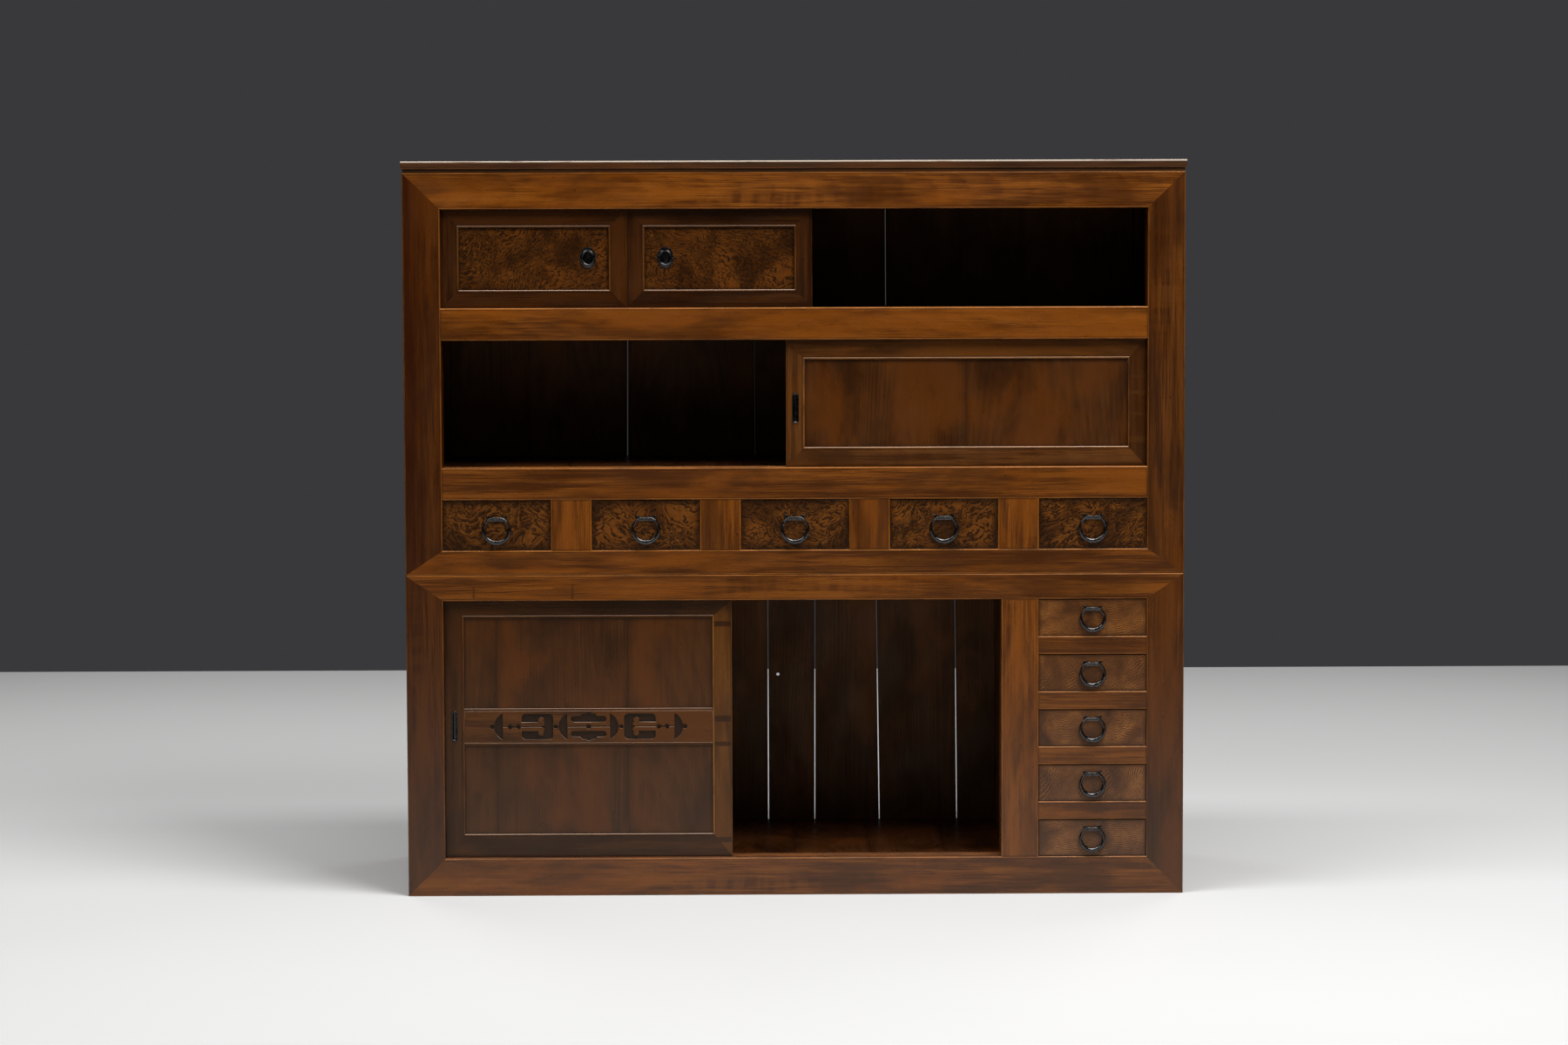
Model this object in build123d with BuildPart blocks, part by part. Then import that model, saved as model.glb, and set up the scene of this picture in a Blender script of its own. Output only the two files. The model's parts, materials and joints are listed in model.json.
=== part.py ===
"""Kitchen cabinet in two stacked cases, with sliding doors, drawers and iron pulls.

Millimetres. X runs to the right, Y to the back and Z up. The origin is under the middle of the
whole cabinet, on the floor.
"""

import os

from build123d import *

os.makedirs("parts", exist_ok=True)

# Cases
case_width = 1770
case_depth = 606
lower_height = 735
upper_height = 911
cap_bead_height = 8
cap_board_thick = 18
cap_front_overhang = 4
cap_side_overhang = 2
cap_bead_inset = 1.5

# Posts and rails
post_width = 85
frame_depth = 66
rear_post = 60
side_rail_thick = 30
side_panel_thick = 12
side_panel_setback = 8
back_rail_depth = 30
hidden_rail_height = 60
arris = 3
hairline = 0.2

lower_bottom_rail = 86
lower_top_rail = 58.5
upper_bottom_rail = 56.5
drawer_row_height = 114.5
middle_rail = 73
middle_opening = 289
upper_top_rail = 82

# Boards
board_thick = 12
back_thick = 9
floor_drop = 2
lower_floor_count = 10
shelf_board_count = 5
hidden_board_count = 6
partition_thick = 16
partition_inset = 20

# Drawers
drawer_columns = 5
divider_width = 93
drawer_rows = 5
drawer_rail_height = 41.3
drawer_rail_depth = 45
drawer_recess = 3
drawer_front_thick = 18
drawer_wall = 10
drawer_floor = 6
drawer_side_drop = 14
drawer_arris = 2
drawer_length = 460
drawer_side_gap = 0.6
drawer_top_gap = 1
running_gap = 0.3
runner_thick = 15
runner_bearing = 16
guide_height = 20

# Sliding doors and their grooves
door_recess = 20
door_thick = 18
door_spacing = 4
tongue_thick = 12
groove_side_gap = 0.5
sill_groove = 3
head_groove = 12
head_tongue = 7
door_top_gap = 0.8
bead_radius = 2.2
bead_sunk = 1.2
panel_thick = 6
panel_setback = 6
panel_tongue = 4
panel_gap = 0.2
panel_end_gap = 1

small_door_overlap = 40
small_door_margin = 38
middle_door_overlap = 38
middle_door_stile = 40
middle_door_rail = 42
large_door_overlap = 40
large_door_stile = 42
large_door_bottom_rail = 51
large_door_top_rail = 36
large_board_joints = (118, 418)

# Carved rail of the large doors
carved_rail_height = 83
carved_rail_rise = 259
carved_line_inset = 5
carved_line_width = 1.2
carved_line_depth = 1
eye_radius = 5.7
stem_width = 2.5
moon_half_height = 30.5
moon_depth = 19.5
inner_moon_x = 48.5
outer_moon_x = 196
outer_knob_x = 219.6
knob_radius = 5.7
link_x = 75
link_radius = 5
bracket_start = 81
bracket_end = 153
bracket_back = 20
bracket_half_height = 29.7
bracket_corner = 9.5
tongue_half_height = 10
tongue_slit = 2
tongue_mouth = 4
curl_x = 108.8
curl_z = 15
curl_radius = 6.3
diamond_reach = 7.2
first_diamond_x = 160.5
second_diamond_x = 179
lobe_arm = 34
lobe_low = 10
lobe_high = 24
lobe_crown_z = 22
lobe_crown_radius = 11
lobe_step_x = 11
lobe_step_radius = 8

# Pulls let into the doors
oval_height = 50
oval_width = 38
oval_mouth_height = 30
oval_mouth_width = 24
oval_offset = 87.5
oval_lift = 1.5
bar_pull_height = 70
bar_pull_width = 15
bar_pull_offset = 21.5
middle_pull_rise = 133
large_pull_rise = 302
pull_rim = 1.5
pull_cup_wall = 1.2
pull_cup_depth = 9
pull_rim_width = 2

# Ring pulls of the drawers
upper_ring_diameter = 66
lower_ring_diameter = 61
ring_thick_bottom = 10.5
ring_thick_top = 4
ring_depth = 5
ring_pin_radius = 2
ring_pin_gap = 0.35
barrel_wall = 2
barrel_length = 22
ring_mouth = 25
ring_pin_seat = 1
ring_axis_drop = 5.5
mount_thick = 1.5
mount_width_share = 0.72
mount_skirt_share = 0.1
mount_rise_share = 0.04
mount_horn_share = 0.065
upper_ring_rise = 45.5
lower_ring_rise = 39

# Back boards: (x at the top, x at the bottom) of each joint, with the width of the open slit
lower_back_joints = [
    (-480, -480, hairline),
    (-60, -60, 2.4),
    (55, 53, 2.2),
    (203, 212, 2.6),
    (395, 401, 2.2),
    (640, 640, hairline),
]
upper_back_joints = [
    (-640, -640, hairline),
    (-395, -401, 2.2),
    (-90, -90, hairline),
    (227, 230, 2.2),
    (560, 560, hairline),
]
knot_hole_x = -36
knot_hole_z = 440
knot_hole_radius = 4

# Places that follow from the sizes
barrel_radius = ring_pin_radius + ring_pin_gap + barrel_wall
pull_stand = mount_thick + barrel_radius
pull_reach = hairline + pull_stand + barrel_radius - drawer_recess
overall_depth = case_depth + pull_reach
front_y = -overall_depth / 2 + pull_reach
back_y = front_y + case_depth
boards_y = back_y - back_thick
inside_y = front_y + frame_depth
side_x = case_width / 2
inner_x = side_x - post_width
wall_x = side_x - side_panel_setback - side_panel_thick
case_top = lower_height + upper_height

lower_sill = lower_bottom_rail
lower_head = lower_height - lower_top_rail
drawer_sill = lower_height + upper_bottom_rail
drawer_head = drawer_sill + drawer_row_height
middle_sill = drawer_head + middle_rail
middle_head = middle_sill + middle_opening
upper_sill = middle_head + middle_rail
upper_head = case_top - upper_top_rail

opening_width = 2 * inner_x
drawer_bay = (opening_width - (drawer_columns - 1) * divider_width) / drawer_columns
centre_post_right = inner_x - drawer_bay
centre_post_left = centre_post_right - post_width
partition_x = centre_post_left + partition_inset
lower_drawer_height = (lower_head - lower_sill - (drawer_rows - 1) * drawer_rail_height) / drawer_rows

front_track_y = front_y + door_recess
rear_track_y = front_track_y + door_thick + door_spacing
small_door_width = (opening_width + 2 * small_door_overlap) / 4
middle_door_width = (opening_width + middle_door_overlap) / 2
large_bay = centre_post_left + inner_x
large_door_width = (large_bay + large_door_overlap) / 2


def upright(y):
    """The upright plane at depth y seen from the front, with X to the right and Z up."""
    return Plane.XZ.offset(-y)


def level(z):
    """The level plane at height z."""
    return Plane.XY.offset(z)


def rectangle(low_u, high_u, low_v, high_v, mode=Mode.ADD):
    """A rectangle between four sides, in the sketch being drawn."""
    with Locations(((low_u + high_u) / 2, (low_v + high_v) / 2)):
        Rectangle(high_u - low_u, high_v - low_v, mode=mode)


def save(part, label):
    """Names a finished sub-part and writes it."""
    part.label = label
    export_step(part, f"parts/{label}.step")


# ---------------------------------------------------------------- cases


def posts(label, bottom, top, bottom_rail, top_rail):
    """Two front posts with mitred ends, and two plain posts at the back."""
    with BuildPart() as corner_posts:
        with BuildSketch(upright(front_y)):
            with BuildLine():
                Polyline(
                    (-side_x, bottom),
                    (-inner_x, bottom + bottom_rail),
                    (-inner_x, top - top_rail),
                    (-side_x, top),
                    close=True,
                )
            make_face()
        extrude(amount=-frame_depth)
        front_edges = corner_posts.edges().filter_by(Axis.Z).group_by(Axis.Y)[0]
        fillet(front_edges, radius=arris)
        with BuildSketch(level(bottom)):
            rectangle(-side_x, -side_x + rear_post, boards_y - rear_post, boards_y)
        extrude(amount=top - bottom)
        mirror(about=Plane.YZ)
    save(corner_posts.part, label)


def mitred_rail(outer, inner):
    """A rail of the front frame, from the outer edge of the case to the opening."""
    with BuildPart() as rail:
        with BuildSketch(upright(front_y)):
            with BuildLine():
                Polyline(
                    (-side_x + hairline, outer),
                    (-inner_x + hairline, inner),
                    (inner_x - hairline, inner),
                    (side_x - hairline, outer),
                    close=True,
                )
            make_face()
        extrude(amount=-frame_depth)
        along = rail.edges().filter_by(Axis.X).group_by(Axis.Y)[0]
        fillet(along, radius=arris)
    return rail.part


def straight_rail(left, right, bottom, height, depth):
    """A rail between two upright members, with its front arrises rounded."""
    with BuildPart() as rail:
        with BuildSketch(upright(front_y)):
            rectangle(left, right, bottom, bottom + height)
        extrude(amount=-depth)
        along = rail.edges().filter_by(Axis.X).group_by(Axis.Y)[0]
        fillet(along, radius=arris)
    return rail.part


def groove_pair(left, right, bottom, top):
    """The two grooves of a pair of tracks, as solids to be cut away."""
    groove_width = tongue_thick + 2 * groove_side_gap
    with BuildPart() as grooves:
        for track_y in (front_track_y, rear_track_y):
            near = track_y + (door_thick - groove_width) / 2
            with BuildSketch(level(bottom)):
                rectangle(left, right, near, near + groove_width)
            extrude(amount=top - bottom)
    return grooves.part


def sill_grooves(left, right, sill):
    return groove_pair(left, right, sill - sill_groove, sill)


def head_grooves(left, right, head):
    return groove_pair(left, right, head, head + head_groove)


def side_wall(label, rail_spans):
    """Rails between the posts on both sides, with a sunk panel in each field."""
    rear = boards_y - rear_post
    fields = zip(rail_spans[:-1], rail_spans[1:])
    with BuildPart() as walls:
        for low, high in rail_spans:
            with BuildSketch(level(low)):
                rectangle(side_x - side_rail_thick, side_x, inside_y, rear)
            extrude(amount=high - low)
        for (_, field_bottom), (field_top, _) in fields:
            with BuildSketch(level(field_bottom)):
                rectangle(wall_x, wall_x + side_panel_thick, inside_y, rear)
            extrude(amount=field_top - field_bottom)
        mirror(about=Plane.YZ)
    save(walls.part, label)


def back_wall(label, bottom, top, joints, rail_spans):
    """Upright boards nailed over the back, some shrunk apart, and the rails behind them."""
    lines = [(-side_x, -side_x, 0), *joints, (side_x, side_x, 0)]
    with BuildPart() as back:
        for (top_a, low_a, gap_a), (top_b, low_b, gap_b) in zip(lines[:-1], lines[1:]):
            with BuildSketch(upright(boards_y)):
                with BuildLine():
                    Polyline(
                        (low_a + gap_a / 2, bottom),
                        (low_b - gap_b / 2, bottom),
                        (top_b - gap_b / 2, top),
                        (top_a + gap_a / 2, top),
                        close=True,
                    )
                make_face()
            extrude(amount=-back_thick)
        if bottom < knot_hole_z < top:
            with BuildSketch(upright(boards_y)):
                with Locations((knot_hole_x, knot_hole_z)):
                    Circle(knot_hole_radius)
            extrude(amount=-back_thick, mode=Mode.SUBTRACT)
        rail_front = boards_y - hairline - back_rail_depth
        for low, high in rail_spans:
            with BuildSketch(level(low)):
                rectangle(rear_post - side_x, side_x - rear_post, rail_front, boards_y - hairline)
            extrude(amount=high - low)
    save(back.part, label)


def shelf(surface, reach_x, board_count):
    """Boards laid side by side from the front rail to the back, notched round the rear posts."""
    width = 2 * reach_x / board_count
    with BuildPart() as boards:
        for index in range(board_count):
            left = -reach_x + index * width
            with BuildSketch(level(surface - board_thick)):
                rectangle(left, left + width - hairline, inside_y, boards_y)
                for post_left in (-side_x, side_x - rear_post):
                    post_front = boards_y - rear_post
                    rectangle(post_left, post_left + rear_post, post_front, boards_y, Mode.SUBTRACT)
            extrude(amount=board_thick)
    return boards.part


middle_floor = middle_sill - floor_drop
upper_floor = upper_sill - floor_drop
lower_floor = lower_sill - floor_drop

posts("lower_posts", 0, lower_height, lower_bottom_rail, lower_top_rail)
posts("upper_posts", lower_height, case_top, upper_bottom_rail, upper_top_rail)

with BuildPart() as lower_front_rails:
    add(mitred_rail(0, lower_sill))
    add(mitred_rail(lower_height, lower_head))
    add(sill_grooves(-inner_x, centre_post_left, lower_sill), mode=Mode.SUBTRACT)
    add(head_grooves(-inner_x, centre_post_left, lower_head), mode=Mode.SUBTRACT)
save(lower_front_rails.part, "lower_front_rails")

with BuildPart() as upper_front_rails:
    add(mitred_rail(lower_height, drawer_sill))
    add(mitred_rail(case_top, upper_head))
    add(straight_rail(-inner_x, inner_x, drawer_head, middle_rail, frame_depth))
    add(straight_rail(-inner_x, inner_x, middle_head, middle_rail, frame_depth))
    add(sill_grooves(-inner_x, inner_x, middle_sill), mode=Mode.SUBTRACT)
    add(head_grooves(-inner_x, inner_x, middle_head), mode=Mode.SUBTRACT)
    add(sill_grooves(-inner_x, inner_x, upper_sill), mode=Mode.SUBTRACT)
    add(head_grooves(-inner_x, inner_x, upper_head), mode=Mode.SUBTRACT)
save(upper_front_rails.part, "upper_front_rails")

inner_side_x = side_x - side_rail_thick
lower_ceiling = lower_height - board_thick
upper_base = lower_height + board_thick
shelf_rails = [
    (surface - board_thick - hidden_rail_height, surface - board_thick)
    for surface in (middle_floor, upper_floor)
]
top_rail_span = (case_top - hidden_rail_height, case_top)
floor_rail_span = (0, lower_floor - board_thick)
runner_rail_top = drawer_sill - runner_thick

side_wall(
    "lower_side_walls", [floor_rail_span, (lower_ceiling - hidden_rail_height, lower_height)]
)
side_wall(
    "upper_side_walls", [(lower_height, runner_rail_top), *shelf_rails, top_rail_span]
)
back_wall(
    "lower_back_boards",
    0,
    lower_height,
    lower_back_joints,
    [floor_rail_span, (lower_ceiling - hidden_rail_height, lower_ceiling)],
)
back_wall(
    "upper_back_boards",
    lower_height,
    case_top,
    upper_back_joints,
    [(upper_base, runner_rail_top), *shelf_rails, top_rail_span],
)

with BuildPart() as lower_floor_boards:
    add(shelf(lower_floor, wall_x, lower_floor_count))
    add(shelf(lower_height, inner_side_x, hidden_board_count))
save(lower_floor_boards.part, "lower_floor_boards")

with BuildPart() as upper_shelves:
    add(shelf(upper_base, inner_side_x, hidden_board_count))
    add(shelf(middle_floor, wall_x, shelf_board_count))
    add(shelf(upper_floor, wall_x, shelf_board_count))
save(upper_shelves.part, "upper_shelves")

with BuildPart() as top_board:
    with BuildSketch(level(case_top)):
        rectangle(
            -side_x + cap_bead_inset,
            side_x - cap_bead_inset,
            front_y + cap_bead_inset,
            back_y,
        )
    extrude(amount=cap_bead_height)
    with BuildSketch(level(case_top + cap_bead_height)):
        rectangle(
            -side_x - cap_side_overhang,
            side_x + cap_side_overhang,
            front_y - cap_front_overhang,
            back_y,
        )
    extrude(amount=cap_board_thick)
    front_edge = top_board.edges().filter_by(Axis.X).group_by(Axis.Y)[0]
    fillet(front_edge, radius=arris)
save(top_board.part, "top_board")

# ---------------------------------------------------------------- drawer bays

with BuildPart() as upper_drawer_dividers:
    for column in range(drawer_columns - 1):
        divider_left = -inner_x + drawer_bay + column * (drawer_bay + divider_width)
        divider_right = divider_left + divider_width
        with BuildSketch(upright(front_y)):
            rectangle(divider_left, divider_right, drawer_sill, drawer_head)
        extrude(amount=-frame_depth)
        with BuildSketch(upright(inside_y + hairline)):
            rectangle(
                divider_left - runner_bearing,
                divider_right + runner_bearing,
                drawer_sill - runner_thick,
                drawer_sill,
            )
            rectangle(divider_left, divider_right, drawer_sill, drawer_sill + guide_height)
        extrude(amount=inside_y + hairline - boards_y)
    with BuildSketch(upright(inside_y)):
        rectangle(inner_x - runner_bearing, wall_x, drawer_sill - runner_thick, drawer_sill)
        rectangle(inner_x, wall_x, drawer_sill, drawer_sill + guide_height)
        mirror(about=Plane.YZ)
    extrude(amount=inside_y + rear_post - boards_y)
    standing = upper_drawer_dividers.edges().filter_by(Axis.Z).group_by(Axis.Y)[0]
    fillet(standing, radius=arris)
save(upper_drawer_dividers.part, "upper_drawer_dividers")

lower_drawer_sills = [
    lower_sill + row * (lower_drawer_height + drawer_rail_height) for row in range(drawer_rows)
]
partition_right = partition_x + partition_thick

with BuildPart() as centre_post:
    with BuildSketch(upright(front_y)):
        rectangle(centre_post_left, centre_post_right, lower_sill, lower_head)
    extrude(amount=-frame_depth)
    post_edges = centre_post.edges().filter_by(Axis.Z).group_by(Axis.Y)[0]
    fillet(post_edges, radius=arris)
    with BuildSketch(level(lower_floor)):
        rectangle(
            partition_x,
            partition_right,
            inside_y + hairline,
            boards_y - hairline - back_rail_depth,
        )
    extrude(amount=lower_ceiling - lower_floor)
save(centre_post.part, "lower_partition")

with BuildPart() as lower_drawer_rails:
    for rail_top in lower_drawer_sills[1:]:
        rail_bottom = rail_top - drawer_rail_height
        add(straight_rail(centre_post_right, inner_x, rail_bottom, drawer_rail_height, drawer_rail_depth))
    for bay_sill in lower_drawer_sills:
        runner_bottom = max(bay_sill - runner_thick, lower_floor)
        with BuildSketch(upright(inside_y)):
            rectangle(partition_right, centre_post_right + runner_bearing, runner_bottom, bay_sill)
            rectangle(partition_right, centre_post_right, bay_sill, bay_sill + guide_height)
            rectangle(inner_x - runner_bearing, wall_x, runner_bottom, bay_sill)
            rectangle(inner_x, wall_x, bay_sill, bay_sill + guide_height)
        extrude(amount=inside_y + rear_post - boards_y)
save(lower_drawer_rails.part, "lower_drawer_rails")

# ---------------------------------------------------------------- drawers

drawer_face_y = front_y + drawer_recess
pin_y = drawer_face_y - hairline - pull_stand


def drawer(label, left, sill, width, height, ring_diameter, ring_rise):
    """A drawer: its front, a nailed box behind it, and the iron mount of its ring."""
    box_left = left + drawer_side_gap
    box_right = left + width - drawer_side_gap
    bottom = sill + running_gap
    top = sill + height - drawer_top_gap
    centre_x = left + width / 2
    axis_z = sill + ring_rise + ring_diameter / 2 - ring_axis_drop
    box_y = drawer_face_y + drawer_front_thick + hairline
    box_back = drawer_face_y + drawer_length
    plate_y = drawer_face_y - hairline
    half_plate = mount_width_share * ring_diameter / 2
    plate_low = axis_z - mount_skirt_share * ring_diameter
    plate_middle = axis_z + mount_rise_share * ring_diameter
    plate_horn = plate_middle + mount_horn_share * ring_diameter
    with BuildPart() as body:
        with BuildSketch(upright(drawer_face_y)):
            rectangle(box_left, box_right, bottom, top)
        extrude(amount=-drawer_front_thick)
        fillet(body.edges().group_by(Axis.Y)[0], radius=drawer_arris)
        with BuildSketch(level(bottom)):
            rectangle(box_left, box_right, box_y, box_back)
        extrude(amount=top - bottom - drawer_side_drop)
        with BuildSketch(level(bottom + drawer_floor)):
            rectangle(box_left + drawer_wall, box_right - drawer_wall, box_y, box_back - drawer_wall)
        extrude(amount=height, mode=Mode.SUBTRACT)
        with BuildSketch(upright(plate_y)):
            with BuildLine():
                Polyline(
                    (centre_x - half_plate, plate_horn),
                    (centre_x - half_plate, plate_low),
                    (centre_x + half_plate, plate_low),
                    (centre_x + half_plate, plate_horn),
                )
                ThreePointArc(
                    (centre_x - half_plate, plate_horn),
                    (centre_x, plate_middle),
                    (centre_x + half_plate, plate_horn),
                )
            make_face()
        extrude(amount=mount_thick)
        with BuildSketch(Plane.YZ.offset(centre_x - barrel_length / 2)):
            with Locations((pin_y, axis_z)):
                Circle(barrel_radius)
            rectangle(pin_y, plate_y - mount_thick, axis_z - barrel_radius, axis_z + barrel_radius)
            with Locations((pin_y, axis_z)):
                Circle(ring_pin_radius + ring_pin_gap, mode=Mode.SUBTRACT)
        extrude(amount=barrel_length)
    save(body.part, label)


def ring(label, centre_x, centre_z, diameter):
    """A ring, thin at the top and heavy at the bottom, closed by the pin that it swings on."""
    outer = diameter / 2
    bore = outer - (ring_thick_bottom + ring_thick_top) / 2
    bore_lift = (ring_thick_bottom - ring_thick_top) / 2
    with BuildPart() as loop:
        with BuildSketch(upright(pin_y + ring_depth / 2)):
            with Locations((centre_x, centre_z)):
                Circle(outer)
            with Locations((centre_x, centre_z + bore_lift)):
                Circle(bore, mode=Mode.SUBTRACT)
            half_mouth = ring_mouth / 2
            top = centre_z + outer
            rectangle(centre_x - half_mouth, centre_x + half_mouth, centre_z, top, Mode.SUBTRACT)
        extrude(amount=ring_depth)
        pin_reach = ring_mouth / 2 + ring_pin_seat
        with BuildSketch(Plane.YZ.offset(centre_x - pin_reach)):
            with Locations((pin_y, centre_z + outer - ring_axis_drop)):
                Circle(ring_pin_radius)
        extrude(amount=2 * pin_reach)
    save(loop.part, label)


for column in range(drawer_columns):
    bay_left = -inner_x + column * (drawer_bay + divider_width)
    drawer(
        f"upper_drawer_{column + 1}",
        bay_left,
        drawer_sill,
        drawer_bay,
        drawer_row_height,
        upper_ring_diameter,
        upper_ring_rise,
    )
    ring(
        f"upper_ring_{column + 1}",
        bay_left + drawer_bay / 2,
        drawer_sill + upper_ring_rise,
        upper_ring_diameter,
    )

for row, bay_sill in enumerate(lower_drawer_sills):
    drawer(
        f"lower_drawer_{row + 1}",
        centre_post_right,
        bay_sill,
        drawer_bay,
        lower_drawer_height,
        lower_ring_diameter,
        lower_ring_rise,
    )
    ring(
        f"lower_ring_{row + 1}",
        centre_post_right + drawer_bay / 2,
        bay_sill + lower_ring_rise,
        lower_ring_diameter,
    )

# ---------------------------------------------------------------- sliding doors


def door_frame(label, track_y, sight, edges, pull=None):
    """Mitred members with a round bead along the sight edge and tongues that run in the grooves.

    sight and edges are (left, right, bottom, top) of the sight opening and of the door's face.
    pull is the slot that a pull is let into, as (x, z, width, height), or None.
    """
    left, right, bottom, top = edges
    sight_left, sight_right, sight_bottom, sight_top = sight
    middle_x = (sight_left + sight_right) / 2
    tongue_bottom = bottom - sill_groove
    with BuildPart() as frame:
        with BuildSketch(upright(track_y)):
            rectangle(left, right, bottom, top)
        extrude(amount=-door_thick)
        with BuildSketch(upright(track_y + (door_thick - tongue_thick) / 2)):
            rectangle(left, right, tongue_bottom, top + head_tongue)
        extrude(amount=-tongue_thick)
        with BuildSketch(upright(track_y)):
            rectangle(sight_left, sight_right, sight_bottom, sight_top)
        extrude(amount=-door_thick, mode=Mode.SUBTRACT)
        with BuildSketch(upright(track_y + panel_setback - panel_gap)):
            rectangle(
                sight_left - panel_tongue - panel_end_gap,
                sight_right + panel_tongue + panel_end_gap,
                sight_bottom - panel_tongue - panel_end_gap,
                sight_top + panel_tongue + panel_end_gap,
            )
        extrude(amount=-(panel_thick + 2 * panel_gap), mode=Mode.SUBTRACT)
        with BuildLine(upright(track_y + bead_sunk)) as sight_line:
            Polyline(
                (middle_x, sight_bottom),
                (sight_right, sight_bottom),
                (sight_right, sight_top),
                (sight_left, sight_top),
                (sight_left, sight_bottom),
                (middle_x, sight_bottom),
            )
        with BuildSketch(Plane.YZ.offset(middle_x)):
            with Locations((track_y + bead_sunk, sight_bottom)):
                Circle(bead_radius)
        sweep(path=sight_line.wire(), transition=Transition.RIGHT)
        if pull:
            pull_x, pull_z, width, height = pull
            with BuildSketch(upright(track_y)):
                with Locations((pull_x, pull_z)):
                    SlotOverall(height, width, rotation=90)
            extrude(amount=-(pull_cup_depth + hairline), mode=Mode.SUBTRACT)
        with BuildSketch(upright(track_y - bead_radius)):
            for side_edge, sight_side in ((left, sight_left), (right, sight_right)):
                for rail_edge, sight_rail in ((bottom, sight_bottom), (top, sight_top)):
                    run = side_edge - sight_side
                    rise = rail_edge - sight_rail
                    with BuildLine():
                        Line(
                            (sight_side - run / 2, sight_rail - rise / 2),
                            (side_edge + run / 2, rail_edge + rise / 2),
                        )
                    trace(line_width=hairline)
        extrude(amount=-(door_thick + 2 * bead_radius), mode=Mode.SUBTRACT)
    save(frame.part, label)


def door_panel(label, track_y, sight, joints=(), oval=None):
    """Thin boards held in the slots of the frame, with the joints between them and an oval hole."""
    left, right, bottom, top = sight
    low_z = bottom - panel_tongue
    high_z = top + panel_tongue
    with BuildPart() as panel:
        with BuildSketch(upright(track_y + panel_setback)):
            rectangle(left - panel_tongue, right + panel_tongue, low_z, high_z)
            for joint_x in joints:
                rectangle(joint_x, joint_x + hairline, low_z, high_z, Mode.SUBTRACT)
            if oval:
                with Locations(oval):
                    half_width = oval_mouth_width / 2 + hairline
                    half_height = oval_mouth_height / 2 + hairline
                    Ellipse(half_width, half_height, mode=Mode.SUBTRACT)
        extrude(amount=-panel_thick)
    save(panel.part, label)


def oval_pull(label, track_y, centre):
    """An oval iron cup whose wide rim lies on the panel."""
    face_y = track_y + panel_setback - hairline
    with BuildPart() as cup:
        with BuildSketch(upright(face_y)):
            with Locations(centre):
                Ellipse(oval_width / 2, oval_height / 2)
        extrude(amount=pull_rim)
        with BuildSketch(upright(face_y)):
            with Locations(centre):
                Ellipse(oval_mouth_width / 2, oval_mouth_height / 2)
        extrude(amount=-pull_cup_depth)
        with BuildSketch(upright(face_y - pull_rim)):
            with Locations(centre):
                Ellipse(oval_mouth_width / 2 - pull_cup_wall, oval_mouth_height / 2 - pull_cup_wall)
        extrude(amount=-(pull_rim + pull_cup_depth - pull_cup_wall), mode=Mode.SUBTRACT)
    save(cup.part, label)


def bar_pull(label, track_y, centre):
    """A long narrow iron cup let into a stile, with a thin rim on the wood."""
    face_y = track_y - hairline
    slot_height = bar_pull_height - 2 * pull_rim_width
    slot_width = bar_pull_width - 2 * pull_rim_width
    with BuildPart() as cup:
        with BuildSketch(upright(face_y)):
            with Locations(centre):
                SlotOverall(bar_pull_height, bar_pull_width, rotation=90)
        extrude(amount=pull_rim)
        with BuildSketch(upright(face_y)):
            with Locations(centre):
                SlotOverall(slot_height - 2 * hairline, slot_width - 2 * hairline, rotation=90)
        extrude(amount=-pull_cup_depth)
        mouth_height = slot_height - 2 * (hairline + pull_cup_wall)
        mouth_width = slot_width - 2 * (hairline + pull_cup_wall)
        with BuildSketch(upright(face_y - pull_rim)):
            with Locations(centre):
                SlotOverall(mouth_height, mouth_width, rotation=90)
        extrude(amount=-(pull_rim + pull_cup_depth - pull_cup_wall), mode=Mode.SUBTRACT)
    save(cup.part, label)


def pierced_quarter():
    """The openings in one quarter of the carved rail, with the middle of the rail at the origin."""
    with BuildSketch() as openings:
        Circle(eye_radius)
        rectangle(0, inner_moon_x, -stem_width / 2, stem_width / 2)
        for flat_x in (inner_moon_x, outer_moon_x):
            with BuildLine():
                Line((flat_x, -moon_half_height), (flat_x, moon_half_height))
                ThreePointArc(
                    (flat_x, moon_half_height),
                    (flat_x + moon_depth, 0),
                    (flat_x, -moon_half_height),
                )
            make_face()
        rectangle(inner_moon_x, bracket_start, -stem_width / 2, stem_width / 2)
        with Locations((link_x, 0)):
            Circle(link_radius)
        with Locations((outer_knob_x, 0)):
            Circle(knob_radius)
        with Locations(((bracket_start + bracket_end) / 2, 0)):
            RectangleRounded(bracket_end - bracket_start, 2 * bracket_half_height, bracket_corner)
        tongue_start = bracket_start + bracket_back
        rectangle(
            tongue_start, bracket_end, -tongue_half_height, tongue_half_height, Mode.SUBTRACT
        )
        with Locations((curl_x, curl_z), (curl_x, -curl_z)):
            Circle(curl_radius, mode=Mode.SUBTRACT)
        with BuildLine():
            Polyline(
                (tongue_start, -tongue_mouth / 2),
                (curl_x, -tongue_slit / 2),
                (outer_moon_x, -tongue_slit / 2),
                (outer_moon_x, tongue_slit / 2),
                (curl_x, tongue_slit / 2),
                (tongue_start, tongue_mouth / 2),
                close=True,
            )
        make_face()
        with Locations((first_diamond_x, 0), (second_diamond_x, 0)):
            RegularPolygon(diamond_reach, 4)
        rectangle(0, lobe_arm, lobe_low, lobe_high)
        with Locations((lobe_arm, (lobe_low + lobe_high) / 2)):
            Circle((lobe_high - lobe_low) / 2)
        with Locations((0, lobe_crown_z)):
            Circle(lobe_crown_radius)
        with Locations((lobe_step_x, lobe_crown_z)):
            Circle(lobe_step_radius)
    return openings.sketch


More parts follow.
